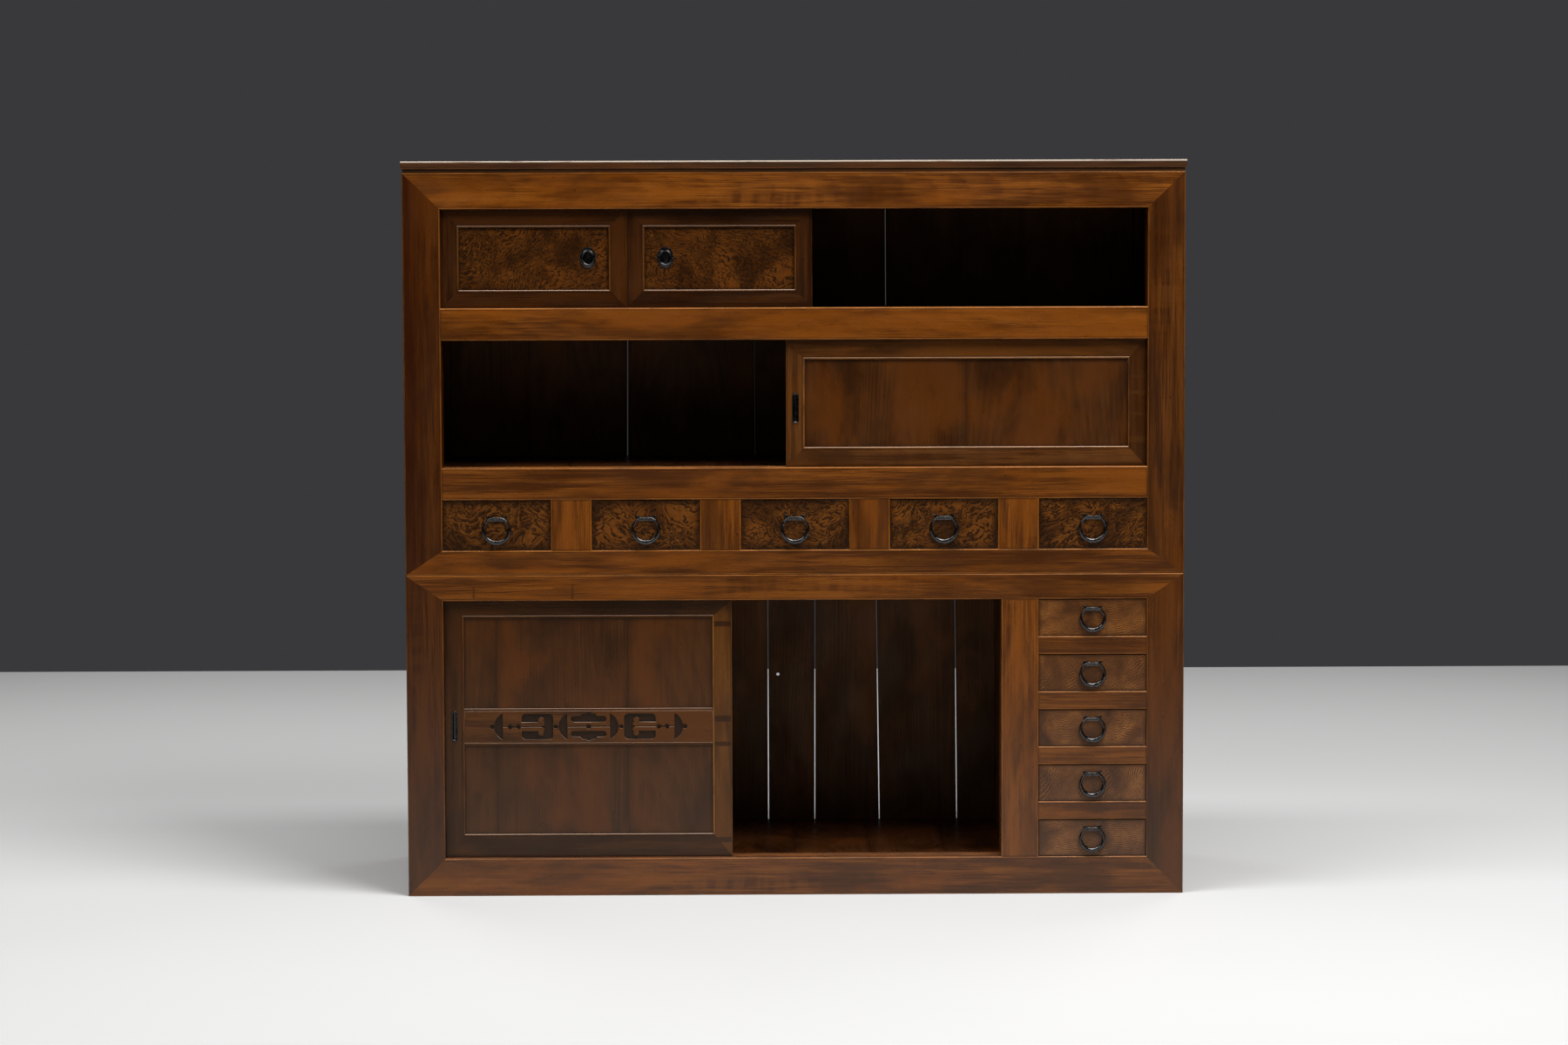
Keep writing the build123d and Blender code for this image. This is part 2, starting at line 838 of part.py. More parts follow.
def carved_rail(label, track_y, sight, bottom):
    """A thin rail over the boards, pierced with mirrored moons, brackets, diamonds and lobes.

    A line cut along each long edge leaves a bead outside it.
    """
    left, right, _, _ = sight
    middle = ((left + right) / 2, track_y, bottom + carved_rail_height / 2)
    face = Plane(origin=middle, x_dir=(1, 0, 0), z_dir=(0, -1, 0))
    length = right - left - 2 * (bead_radius + hairline)
    line_place = carved_rail_height / 2 - carved_line_inset
    with BuildPart() as rail:
        with BuildSketch(face):
            Rectangle(length, carved_rail_height)
            with BuildSketch(mode=Mode.SUBTRACT):
                add(pierced_quarter())
                mirror(about=Plane.XZ)
                mirror(about=Plane.YZ)
        extrude(amount=hairline - panel_setback)
        with BuildSketch(face):
            with Locations((0, line_place), (0, -line_place)):
                Rectangle(length, carved_line_width)
        extrude(amount=-carved_line_depth, mode=Mode.SUBTRACT)
    save(rail.part, label)


def door_face(left, width, sill, head):
    """The left, right, bottom and top of a door's face between its sill and its head."""
    return left, left + width, sill + running_gap, head - door_top_gap


def sight_opening(face, stile, bottom_rail, top_rail):
    """The opening that a door's stiles and rails leave for its panel."""
    left, right, bottom, top = face
    return left + stile, right - stile, bottom + bottom_rail, top - top_rail


# Small doors: the pair of the front track stands at the left, with the rear pair behind it
first_small_left = -inner_x + running_gap
second_small_left = first_small_left + small_door_width + running_gap
small_doors = [
    ("small_door_a", front_track_y, first_small_left, small_door_width - oval_offset),
    ("small_door_b", front_track_y, second_small_left, oval_offset),
    ("small_door_c", rear_track_y, first_small_left, oval_offset),
    ("small_door_d", rear_track_y, second_small_left, small_door_width - oval_offset),
]
for name, track_y, door_left, pull_offset in small_doors:
    face = door_face(door_left, small_door_width, upper_sill, upper_head)
    sight = sight_opening(face, small_door_margin, small_door_margin, small_door_margin)
    pull_centre = (door_left + pull_offset, (upper_sill + upper_head) / 2 + oval_lift)
    door_frame(f"{name}_frame", track_y, sight, face)
    door_panel(f"{name}_panel", track_y, sight, oval=pull_centre)
    oval_pull(f"{name}_pull", track_y, pull_centre)

bar_slot = (bar_pull_width - 2 * pull_rim_width, bar_pull_height - 2 * pull_rim_width)

# Middle doors: both stand at the right, one behind the other
middle_left = inner_x - running_gap - middle_door_width
for name, track_y in (("middle_door_front", front_track_y), ("middle_door_rear", rear_track_y)):
    face = door_face(middle_left, middle_door_width, middle_sill, middle_head)
    sight = sight_opening(face, middle_door_stile, middle_door_rail, middle_door_rail)
    pull_centre = (middle_left + bar_pull_offset, middle_sill + middle_pull_rise)
    board_joint = middle_left + middle_door_width / 2
    door_frame(f"{name}_frame", track_y, sight, face, (*pull_centre, *bar_slot))
    door_panel(f"{name}_panel", track_y, sight, joints=[board_joint])
    bar_pull(f"{name}_pull", track_y, pull_centre)

# Large doors: both stand at the left, one behind the other
large_left = -inner_x + running_gap
large_doors = [
    ("large_door_front", front_track_y, bar_pull_offset),
    ("large_door_rear", rear_track_y, large_door_width - bar_pull_offset),
]
for name, track_y, pull_offset in large_doors:
    face = door_face(large_left, large_door_width, lower_sill, lower_head)
    sight = sight_opening(face, large_door_stile, large_door_bottom_rail, large_door_top_rail)
    pull_centre = (large_left + pull_offset, lower_sill + large_pull_rise)
    rail_bottom = lower_sill + carved_rail_rise
    board_joints = [large_left + joint for joint in large_board_joints]
    door_frame(f"{name}_frame", track_y, sight, face, (*pull_centre, *bar_slot))
    door_panel(f"{name}_panel", track_y, sight, joints=board_joints)
    carved_rail(f"{name}_carved_rail", track_y, sight, rail_bottom)
    bar_pull(f"{name}_pull", track_y, pull_centre)
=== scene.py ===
import json
import math
import random
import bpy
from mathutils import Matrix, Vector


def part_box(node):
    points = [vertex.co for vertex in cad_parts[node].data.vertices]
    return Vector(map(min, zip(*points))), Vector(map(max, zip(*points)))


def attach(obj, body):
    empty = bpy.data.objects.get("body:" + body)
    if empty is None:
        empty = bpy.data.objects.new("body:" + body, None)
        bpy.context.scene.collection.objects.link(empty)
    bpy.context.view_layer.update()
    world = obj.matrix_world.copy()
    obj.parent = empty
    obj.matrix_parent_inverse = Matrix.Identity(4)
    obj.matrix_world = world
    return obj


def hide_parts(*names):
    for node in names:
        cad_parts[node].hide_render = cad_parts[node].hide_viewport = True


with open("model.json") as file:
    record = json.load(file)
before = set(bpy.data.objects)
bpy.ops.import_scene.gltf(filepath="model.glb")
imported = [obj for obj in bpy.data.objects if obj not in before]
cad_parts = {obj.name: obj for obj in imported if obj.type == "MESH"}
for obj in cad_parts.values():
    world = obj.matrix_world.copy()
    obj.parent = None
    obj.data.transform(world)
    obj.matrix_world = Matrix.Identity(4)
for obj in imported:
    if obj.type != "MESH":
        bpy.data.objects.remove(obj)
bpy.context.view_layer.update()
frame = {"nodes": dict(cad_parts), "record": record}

from types import SimpleNamespace

import bmesh
import bpy
from mathutils import Matrix, Vector

bl_info = {
    "name": "Two-case kitchen cabinet",
    "version": (1, 0, 0),
    "blender": (4, 5, 0),
    "location": "View3D > Sidebar > Cabinet",
    "description": "Dresses the cabinet in rubbed wood and black iron, and sets up its studio",
    "category": "Object",
}

# Metres. X runs to the right, Y to the back and Z up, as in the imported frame.
MM = 0.001
BODY_OF = {
    node: body
    for body, nodes in frame["record"]["behaviour"]["bodies"].items()
    for node in nodes
}
DRAWERS = [f"{row}_drawer_{place}" for row in ("upper", "lower") for place in range(1, 6)]
OVAL_DOORS = [f"small_door_{letter}" for letter in "abcd"]
BAR_DOORS = ["middle_door_front", "middle_door_rear", "large_door_front", "large_door_rear"]

# Ironwork, as the CAD model has it
PIN_DROP = 5.5 * MM
PLATE_THICK = 1.5 * MM
BARREL_RADIUS = 4.35 * MM
PIN_RADIUS = 2 * MM
BARREL_LENGTH = 22 * MM
RING_MOUTH = 25 * MM
CUP_DEPTH = 9 * MM
OVAL_HALF_WIDTH = 19 * MM
OVAL_HALF_HEIGHT = 25 * MM
OVAL_MOUTH_HALF_WIDTH = 12 * MM
OVAL_MOUTH_HALF_HEIGHT = 15 * MM
BAR_HALF_WIDTH = 7.5 * MM
BAR_STRAIGHT = 55 * MM

# How a ring swells towards its foot, and how far its pin goes into it
RING_SWELL = 1.3
RING_ROUNDNESS = 1.05
PIN_BITE = 2 * MM

# A ring's mount: the plate's outline in shares of the ring's radius, the barrel, made slimmer than
# the CAD model's and set back so that the beads stand proud of it, and the row of beads
MOUNT_HALF_WIDTH = 0.72
MOUNT_FOOT_HALF_WIDTH = MOUNT_HALF_WIDTH * 0.86
MOUNT_SKIRT = 0.2
MOUNT_DIP = 0.08
MOUNT_HORN = 0.13
MOUNT_HORN_CURVE = 2.2
MOUNT_FOOT_BOW = 0.08 * MM
PLATE_EASE = 0.5 * MM
PLATE_RIM_ANGLE = math.radians(60)
BARREL_SLIMMED = 1.2 * MM
BARREL_SETBACK = 0.4 * MM
MOUNT_BEADS = 8
MOUNT_BEAD_RISE = 1.4 * MM
MOUNT_BEAD_ARCH = 1 * MM
BEAD_SINK = 0.05 * MM
OVAL_BEADS = 34
OVAL_BEAD_INSET = 1.5 * MM

# What tells the boards of one node apart. From front to back a drawer's iron mount is the least
# deep, then its front, then its box. A lacquered piece starts close behind the posts' faces, and a
# door's worn stile starts close to its right side.
DRAWER_MOUNT_DEPTH = 12 * MM
DRAWER_FRONT_DEPTH = 30 * MM
LACQUERED_REACH = 4 * MM
STILE_REACH = 50 * MM

# How a mesh is eased and marked. Faces that turn less than FLAT_ANGLE are joined. Edges longer than
# SHORT_EDGE that turn more than SHARP_ANGLE are eased. A face this square to an axis is flat, and
# its plane is told by its place along that axis, rounded. Each board is cut from so many metres of
# timber, and the ends of an eased edge count as this much further off.
FLAT_ANGLE = math.radians(0.4)
SHORT_EDGE = 8 * MM
SHARP_ANGLE = math.radians(50)
IRON_SHARP_ANGLE = math.radians(40)
SQUARE = 0.999
PLANES_PER_METRE = 2000
TIMBER_LENGTH = 7
EASED_END = 20 * MM
BOARD_LAYERS = ("grain", "low_edge", "high_edge")

# Heights on the two worn stiles, from the floor: where the old finish is left, or is rubbed away
LARGE_STILE_BANDS = ((0.6165, 0.6285), (0.398, 0.412), (0.342, 0.352), (0.120, 0.132))
MIDDLE_STILE_RUBS = ((1.182, 1.186), (1.143, 1.151), (1.097, 1.101), (1.034, 1.048))

# Two dark runs on the upper rail of the lower case: the place along X, the lowest and highest point
RAIL_STAINS = ((-0.7305, 0.683, 0.709), (-0.506, 0.677, 0.713))
STAIN_HALF_WIDTH = 2.2 * MM

# The old lacquer is amber, and so is what it mirrors when seen from straight in front
LACQUER_TINT = (1.0, 0.78, 0.55)

# Pale colour along the door frames' ledges: dust and wear, and a painted highlight of the light from
# above
DUST_AND_HIGHLIGHT = (0.34, 0.26, 0.21)

# A grey painted over the wood near the floor as a painted reflection of the pale floor, and how far up
# it goes
FLOOR_SHEEN = (0.115, 0.125, 0.13)
FLOOR_SHEEN_TOP = 0.7

# The studio: the floor's middle and half its length each way, and the light that comes from all round
FLOOR_CENTRE = (0, -6.8, 0)
FLOOR_HALF_SIZE = (16, 11.2)
AMBIENT = 0.04

# The camera: how far to the side, in front of the posts and above the floor it stands, how many
# degrees it looks down, leans and turns, and its lens on a film of full width
CAMERA_SIDE = -0.093
CAMERA_DISTANCE = 8.301
CAMERA_HEIGHT = 1.436
CAMERA_PITCH = 4.015
CAMERA_ROLL = 0.182
CAMERA_YAW = -0.470
CAMERA_LENS = 84.16
CAMERA_FILM = 36


def shade(red, green, blue):
    """A colour written as a screen shows it, from 0 to 255, turned into a linear one."""
    return tuple(
        c / 12.92 if c <= 0.04045 else ((c + 0.055) / 1.055) ** 2.4
        for c in (red / 255, green / 255, blue / 255)
    )


def darker(colour, share):
    """The colour with its light scaled, a little redder as it darkens."""
    return (colour[0] * share, colour[1] * share ** 1.15, colour[2] * share ** 1.25)


def warmer(colour, red, green, blue=0.9):
    """The colour with each of its parts scaled, as lacquer glows where it lies thin."""
    return (colour[0] * red, colour[1] * green, colour[2] * blue)


def colour_property(name, description, screen_colour):
    return bpy.props.FloatVectorProperty(
        name=name,
        description=description,
        subtype="COLOR",
        min=0,
        max=1,
        default=shade(*screen_colour),
    )


def length_property(name, description, millimetres):
    return bpy.props.FloatProperty(
        name=name, description=description, unit="LENGTH", default=millimetres * MM
    )


class CabinetColours(bpy.types.PropertyGroup):
    rail: colour_property("Rails", "Orange brown of the rails of both cases", (93, 49, 10))
    post: colour_property("Posts", "Redder brown of the corner posts", (70, 35, 6))
    cap: colour_property("Top board", "Dark brown of the top board", (58, 29, 7))
    # The scuff colour paints the top board's worn front edge together with its highlight
    scuff_and_highlight: colour_property("Scuffs", "Pale marks where the top board's edge is worn", (150, 138, 126))
    door: colour_property("Door frames", "Dark rubbed lacquer of the door frames", (66, 35, 10))
    bare: colour_property("Bare stile", "Golden wood where the lacquer has gone", (74, 42, 12))
    panel: colour_property("Door panels", "Reddish boards of the large doors", (61, 31, 7))
    burl: colour_property("Burl", "Golden ground of the burl", (68, 35, 7))
    drawer: colour_property("Lower drawers", "Brown of the lower drawer fronts", (101, 59, 24))
    inner: colour_property("Inside", "Unfinished boards inside and behind", (82, 48, 24))
    iron: colour_property("Iron", "Black iron of the pulls", (74, 73, 73))
    floor: colour_property("Floor", "Pale studio floor", (204, 204, 204))
    backdrop: colour_property("Backdrop", "Grey studio backdrop", (57, 57, 59))


class CabinetSizes(bpy.types.PropertyGroup):
    arris: length_property("Arris", "How far sharp wooden edges are eased", 0.9)
    carved_edge: length_property("Carved rail edge", "How far a carved rail's long edges are eased", 0.8)
    ring_bottom: length_property("Ring bottom", "Thickness of a ring at its foot", 10.5)
    ring_top: length_property("Ring top", "Thickness of a ring at its ends", 5)
    ring_depth: length_property("Ring depth", "How deep a ring is from front to back", 8.15)
    bead: length_property("Mount bead", "Diameter of the beads on a ring's mount", 3)
    oval_bead: length_property("Oval bead", "Diameter of the beads round an oval pull", 2.2)


# ---------------------------------------------------------------- finishes


class Nodes:
    """A node tree, with a short call for each kind of node that the finishes and the world use.

    The shifts of the noises only keep two patterns of the same kind from lying on each other.
    """

    def __init__(self, tree):
        self.tree = tree

    def feed(self, socket, value):
        if isinstance(value, bpy.types.NodeSocket):
            self.tree.links.new(value, socket)
        else:
            socket.default_value = value

    def node(self, kind, inputs, **settings):
        made = self.tree.nodes.new(kind)
        for name, value in settings.items():
            setattr(made, name, value)
        for name, value in inputs.items():
            self.feed(made.inputs[name], value)
        return made

    def attribute(self, name):
        return self.node("ShaderNodeAttribute", {}, attribute_name=name).outputs["Vector"]

    def place(self):
        return self.node("ShaderNodeTexCoord", {}).outputs["Object"]

    def height(self):
        return self.split(self.place())["Z"]

    def split(self, vector):
        return self.node("ShaderNodeSeparateXYZ", {"Vector": vector}).outputs

    def math(self, operation, first, second=0.0, third=0.0):
        made = self.node("ShaderNodeMath", {0: first, 1: second, 2: third}, operation=operation)
        return made.outputs[0]

    def times(self, first, second):
        return self.math("MULTIPLY", first, second)

    def times_plus(self, first, second, rest):
        return self.math("MULTIPLY_ADD", first, second, rest)

    def noise(self, place, scale, detail, roughness, distortion=0.0, shift=(0, 0, 0)):
        """Noise of so many turns in a metre each way."""
        moved = self.node("ShaderNodeMapping", {"Vector": place, "Scale": scale, "Location": shift})
        inputs = {
            "Vector": moved.outputs["Vector"], "Scale": 1.0, "Detail": detail,
            "Roughness": roughness, "Distortion": distortion,
        }
        return self.node("ShaderNodeTexNoise", inputs).outputs["Fac"]

    def span(self, value, start, end, low=0.0, high=1.0):
        """The value moved smoothly from low to high as it goes from start to end."""
        inputs = {"Value": value, "From Min": start, "From Max": end, "To Min": low, "To Max": high}
        made = self.node("ShaderNodeMapRange", inputs, interpolation_type="SMOOTHSTEP")
        return made.outputs["Result"]

    def within(self, value, low, high, soft):
        """One between low and high, and nothing beyond them."""
        rise = self.span(value, low - soft, low + soft)
        fall = self.span(value, high - soft, high + soft, 1.0, 0.0)
        return self.times(rise, fall)

    def ramp(self, value, stops):
        made = self.node("ShaderNodeValToRGB", {"Fac": value})
        elements = made.color_ramp.elements
        while len(elements) < len(stops):
            elements.new(0.5)
        for element, (position, colour) in zip(elements, stops):
            element.position = position
            element.color = (*colour, 1)
        return made.outputs["Color"]

    def mix(self, factor, first, second):
        made = self.node("ShaderNodeMix", {0: factor}, data_type="RGBA")
        for socket, colour in ((made.inputs[6], first), (made.inputs[7], second)):
            self.feed(socket, (*colour, 1) if isinstance(colour, tuple) else colour)
        return made.outputs[2]

    def tones(self, value, colour, *stops):
        """A ramp through lighter and darker tones of a colour, each stop a place and a share."""
        return self.ramp(value, [(place, darker(colour, share)) for place, share in stops])


class Finish(Nodes):
    """A material whose colour, gloss and relief are made by nodes.

    body is its colour so far. Other colours are laid over it, one after the other.
    """

    def __init__(self, name):
        self.material = bpy.data.materials.new(name)
        self.material.use_nodes = True
        super().__init__(self.material.node_tree)
        self.shader = self.tree.nodes["Principled BSDF"]
        self.body = None

    def cover(self, where, colour):
        """Lays a colour over the body, as thickly as a mask says."""
        self.body = self.mix(where, self.body, colour)

    def stain(self, where, strength, colour):
        self.cover(self.times(where, strength), colour)

    def patch(self, pattern, start, end, strength, colour):
        """Lays a colour over the body as a pattern goes from start to end."""
        self.cover(self.span(pattern, start, end, 0.0, strength), colour)

    def finish(self, gloss, height=None, relief=0.3, level=0.3, metallic=0.0, tint=(1, 1, 1)):
        """Joins the body, the roughness and the relief to the shader."""
        self.feed(self.shader.inputs["Base Color"], self.body)
        self.feed(self.shader.inputs["Roughness"], gloss)
        self.shader.inputs["Specular IOR Level"].default_value = level
        self.shader.inputs["Specular Tint"].default_value = (*tint, 1)
        self.shader.inputs["Metallic"].default_value = metallic
        if height is not None:
            inputs = {"Strength": relief, "Distance": 0.4 * MM, "Height": height}
            bump = self.node("ShaderNodeBump", inputs)
            self.feed(self.shader.inputs["Normal"], bump.outputs["Normal"])
        return self.material


class Wood(Finish):
    """A finish that reads the grain, edges and luck that every board's mesh carries."""

    def __init__(self, name):
        super().__init__(name)
        self.grain = self.attribute("grain")
        self.along, self.across, self.depth = self.split(self.grain)
        low_along, low_across, self.luck = self.split(self.attribute("low_edge"))
        high_along, high_across, self.second_luck = self.split(self.attribute("high_edge"))
        side_edge = self.math("MINIMUM", low_across, high_across)
        end_edge = self.math("MINIMUM", low_along, high_along)
        self.edge = self.math("MINIMUM", side_edge, end_edge)
        self.face_width = self.math("ADD", low_across, high_across)

    def streaks(self):
        """Long soft streaks with finer ones over them."""
        broad = self.noise(self.grain, (2.5, 70, 70), 3.0, 0.6)
        fine = self.noise(self.grain, (9, 420, 420), 3.0, 0.65)
        both = self.times_plus(fine, 0.45, self.times(broad, 0.55))
        return self.span(both, 0.4, 0.6)

    def pores(self):
        """Short dark dashes along the grain."""
        dashes = self.noise(self.grain, (110, 1500, 1500), 1.0, 0.5)
        return self.span(dashes, 0.6, 0.72)

    def clouds(self, along=1.6, across=7.0, shift=(0, 0, 0)):
        return self.noise(self.grain, (along, across, across), 4.0, 0.6, 0.3, shift)

    def rings(self, spacing, depth_offset, wander):
        """Growth rings that cut the face as arches and long lines."""
        sway = self.noise(self.grain, (1.3, 5, 5), 2.0, 0.5)
        sway = self.times_plus(sway, wander, -wander / 2)
        off_centre = self.times_plus(self.luck, 0.16, -0.08)
        side = self.math("ADD", self.math("ADD", self.across, off_centre), sway)
        lean = self.times(self.math("SUBTRACT", self.second_luck, 0.5), 0.16)
        through = self.times_plus(self.along, lean, depth_offset)
        through = self.math("ADD", through, self.depth)
        radius = self.math(
            "SQRT", self.math("ADD", self.math("POWER", side, 2.0), self.math("POWER", through, 2.0))
        )
        jitter = self.noise(self.grain, (6, 180, 180), 2.0, 0.6)
        turns = self.times_plus(jitter, 0.55, self.math("DIVIDE", radius, spacing))
        phase = self.math("FRACT", turns)
        return self.times(self.span(phase, 0.1, 0.86), self.span(phase, 0.9, 1.0, 1.0, 0.0))

    def nicks(self, density=0.74):
        """Small dark dents and specks."""
        specks = self.noise(self.grain, (120, 170, 170), 1.0, 0.5, shift=(3, 5, 7))
        thin = self.noise(self.grain, (9, 9, 9), 1.0, 0.5, shift=(1, 9, 4))
        return self.times(self.span(specks, density, density + 0.05), self.span(thin, 0.45, 0.6))

    def grime_and_shade(self, reach, strength):
        """Darkening along the edges of a face, uneven and soft: dirt, and painted shade where the face
        meets other parts.
        """
        wander = self.noise(self.grain, (10, 30, 30), 3.0, 0.6, shift=(2, 3, 1))
        edge = self.times_plus(wander, -reach * 0.7, self.edge)
        return self.span(edge, -reach * 0.5, reach * 0.8, strength, 0.0)

    def arris_wear_and_highlight(self):
        """Where a narrow eased edge is paler, with wear and a painted highlight: nearly everywhere along
        it, more in some places.
        """
        narrow = self.span(self.face_width, 3.0 * MM, 4.5 * MM, 1.0, 0.0)
        worn = self.noise(self.grain, (12, 40, 40), 3.0, 0.6, shift=(6, 2, 3))
        return self.times(narrow, self.span(worn, 0.34, 0.6, 0.4, 1.0))

    def ledge_dust_and_highlight(self):
        """The narrow faces that look upwards, where dust lies and hands rub, and where a painted
        highlight of the light from above lies.
        """
        upward = self.split(self.node("ShaderNodeTexCoord", {}).outputs["Normal"])["Z"]
        narrow = self.span(self.face_width, 5 * MM, 7 * MM, 1.0, 0.0)
        return self.times(narrow, self.span(upward, 0.3, 0.75))

    def floor_sheen(self, strength):
        """Lays a painted reflection of the pale floor over the body, a grey that thickens towards the
        floor.
        """
        self.cover(self.span(self.height(), 0.0, FLOOR_SHEEN_TOP, strength, 0.0), FLOOR_SHEEN)

    def figured(self, turn_share, turn_start, bend):
        """The grain's place, turned as each board was cut and bent into slow swirls."""
        turn = self.times_plus(self.luck, turn_share, turn_start)
        turned = self.node(
            "ShaderNodeVectorRotate", {"Vector": self.grain, "Angle": turn}, rotation_type="Z_AXIS"
        )
        return self.bent(turned.outputs["Vector"], 9, bend)

    def bent(self, place, scale, reach):
        """A place pushed about by a slow noise, so that what is drawn on it swirls."""
        sway = self.node(
            "ShaderNodeTexNoise", {"Vector": place, "Scale": scale, "Detail": 1.0, "Roughness": 0.4}
        )
        middle = self.node(
            "ShaderNodeVectorMath", {0: sway.outputs["Color"], 1: (0.5, 0.5, 0.5)}, operation="SUBTRACT"
        )
        push = self.node(
            "ShaderNodeVectorMath", {0: middle.outputs["Vector"], "Scale": reach}, operation="SCALE"
        )
        moved = self.node(
            "ShaderNodeVectorMath", {0: place, 1: push.outputs["Vector"]}, operation="ADD"
        )
        return moved.outputs["Vector"]


def case_wood(name, colour, painted_shade_left=0.0, stains=False, scuff_and_highlight=None):
    """Rubbed lacquer over straight-grained wood, clouded and nicked, darker at its edges with dirt and
    painted shade, paler on its eased edges with wear and painted highlight, and greyed low down by a
    painted reflection of the floor.

    painted_shade_left is how much painted shade darkens the posts towards the left, as if lit from the
    right, stains adds the dark runs on the rail, and scuff is the colour of the worn front edge with its
    painted highlight, on a board whose lacquer has gone dull.
    """
    wood = Wood(name)
    tone = wood.times_plus(wood.rings(5.5 * MM, 0.06, 0.02), -0.22, wood.streaks())
    tone = wood.times_plus(wood.luck, 0.15, tone)
    wood.body = wood.tones(tone, colour, (0.0, 0.46), (0.35, 0.86), (0.62, 1.07), (1.0, 1.5))
    curl = wood.noise(wood.grain, (30, 5, 5), 2.0, 0.5, 0.8)
    curl_here = wood.span(wood.clouds(0.7, 4, (5, 2, 8)), 0.5, 0.62, 0.0, 0.45)
    curl = wood.times(wood.span(curl, 0.4, 0.62), curl_here)
    wood.cover(curl, darker(colour, 1.5))
    wood.patch(wood.clouds(2.6, 12), 0.46, 0.63, 0.7, darker(colour, 0.36))
    glow = wood.clouds(2.0, 10, (9, 1, 3))
    wood.patch(glow, 0.48, 0.64, 0.7, warmer(colour, 1.55, 1.45))
    # Painted shade: the posts darken towards the left, and less lower down, as if lit from the right
    if painted_shade_left:
        x, _, z = wood.split(wood.place())
        shadow = wood.span(x, -0.895, -0.79, painted_shade_left, 0.0)
        shadow = wood.times(shadow, wood.span(z, 0.2, 1.1, 0.35, 1.0))
        shadow = wood.math("MAXIMUM", shadow, wood.span(x, -0.9, 0.9, painted_shade_left * 0.4, 0.0))
        wood.cover(shadow, warmer(colour, 0.34, 0.17, 0.06))
    wood.stain(wood.pores(), 0.45, darker(colour, 0.25))
    # Darker along the edges: dirt, and painted shade
    wood.cover(wood.grime_and_shade(4 * MM, 0.55), darker(colour, 0.3))
    wood.stain(wood.nicks(), 0.8, darker(colour, 0.12))
    if stains:
        x, _, z = wood.split(wood.place())
        for stain_x, low, high in RAIL_STAINS:
            near = wood.within(x, stain_x - STAIN_HALF_WIDTH, stain_x + STAIN_HALF_WIDTH, 3 * MM)
            mark = wood.times(near, wood.within(z, low, high, 5 * MM))
            wood.stain(mark, 0.6, darker(colour, 0.2))
    # Paler eased edges: wear, and a painted highlight
    wood.stain(wood.arris_wear_and_highlight(), 0.75, darker(colour, 2.4))
    # A painted reflection of the pale floor greys the wood low down
    wood.floor_sheen(0.12)
    low_gloss, high_gloss, relief = 0.24, 0.36, 0.22
    # A pale worn front top edge: scuffs, and a painted highlight of the light from above
    if scuff_and_highlight:
        low_gloss, high_gloss, relief = 0.4, 0.52, 0.08
        low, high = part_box("top_board")
        _, y, z = wood.split(wood.place())
        rough = wood.noise(wood.grain, (14, 300, 300), 4.0, 0.7, shift=(4, 8, 2))
        top = wood.span(z, high[2] - 5 * MM, high[2] - 1.5 * MM)
        worn = wood.times(top, wood.span(rough, 0.3, 0.48, 0.15, 1.0))
        front = wood.span(y, low[1] + 3 * MM, low[1] + 7 * MM, 1.0, 0.0)
        wood.cover(wood.times(worn, front), scuff_and_highlight)
    gloss = wood.span(wood.clouds(4, 16), 0.3, 0.7, low_gloss, high_gloss)
    height = wood.times_plus(wood.pores(), -0.6, wood.streaks())
    return wood.finish(gloss, height, relief, tint=LACQUER_TINT)


def door_wood(name, colour, bands=(), band_colour=None):
    """Darker lacquer of the door frames, with bands where a stile was covered or rubbed."""
    wood = Wood(name)
    tone = wood.times_plus(wood.rings(4.5 * MM, 0.05, 0.015), -0.2, wood.streaks())
    tone = wood.times_plus(wood.luck, 0.15, tone)
    wood.body = wood.tones(tone, colour, (0.0, 0.58), (0.35, 0.88), (0.62, 1.05), (1.0, 1.4))
    wood.patch(wood.clouds(2.5, 12), 0.46, 0.62, 0.75, darker(colour, 0.36))
    glow = wood.clouds(1.5, 8, (9, 1, 3))
    wood.patch(glow, 0.46, 0.62, 0.75, warmer(colour, 1.6, 1.5))
    if bands:
        fray = wood.noise(wood.place(), (260, 260, 30), 2.0, 0.6)
        z = wood.times_plus(fray, 3 * MM, wood.height())
        marks = 0.0
        for low, high in bands:
            marks = wood.math("MAXIMUM", marks, wood.within(z, low, high, 1 * MM))
        wood.stain(marks, 0.85, band_colour)
    wood.stain(wood.pores(), 0.4, darker(colour, 0.25))
    # Darker along the edges: dirt, and painted shade
    wood.cover(wood.grime_and_shade(4 * MM, 0.6), darker(colour, 0.28))
    wood.stain(wood.nicks(0.76), 0.8, darker(colour, 0.1))
    # Paler eased edges: wear, and a painted highlight
    wood.stain(wood.arris_wear_and_highlight(), 0.8, darker(colour, 3.2))
    # Pale upward ledges: dust and wear, and a painted highlight
    wood.stain(wood.ledge_dust_and_highlight(), 0.75, DUST_AND_HIGHLIGHT)
    # A painted reflection of the pale floor greys the wood low down
    wood.floor_sheen(0.07)
    gloss = wood.span(wood.clouds(5, 20), 0.3, 0.7, 0.22, 0.34)
    height = wood.times_plus(wood.pores(), -0.5, wood.streaks())
    return wood.finish(gloss, height, 0.2, tint=LACQUER_TINT)


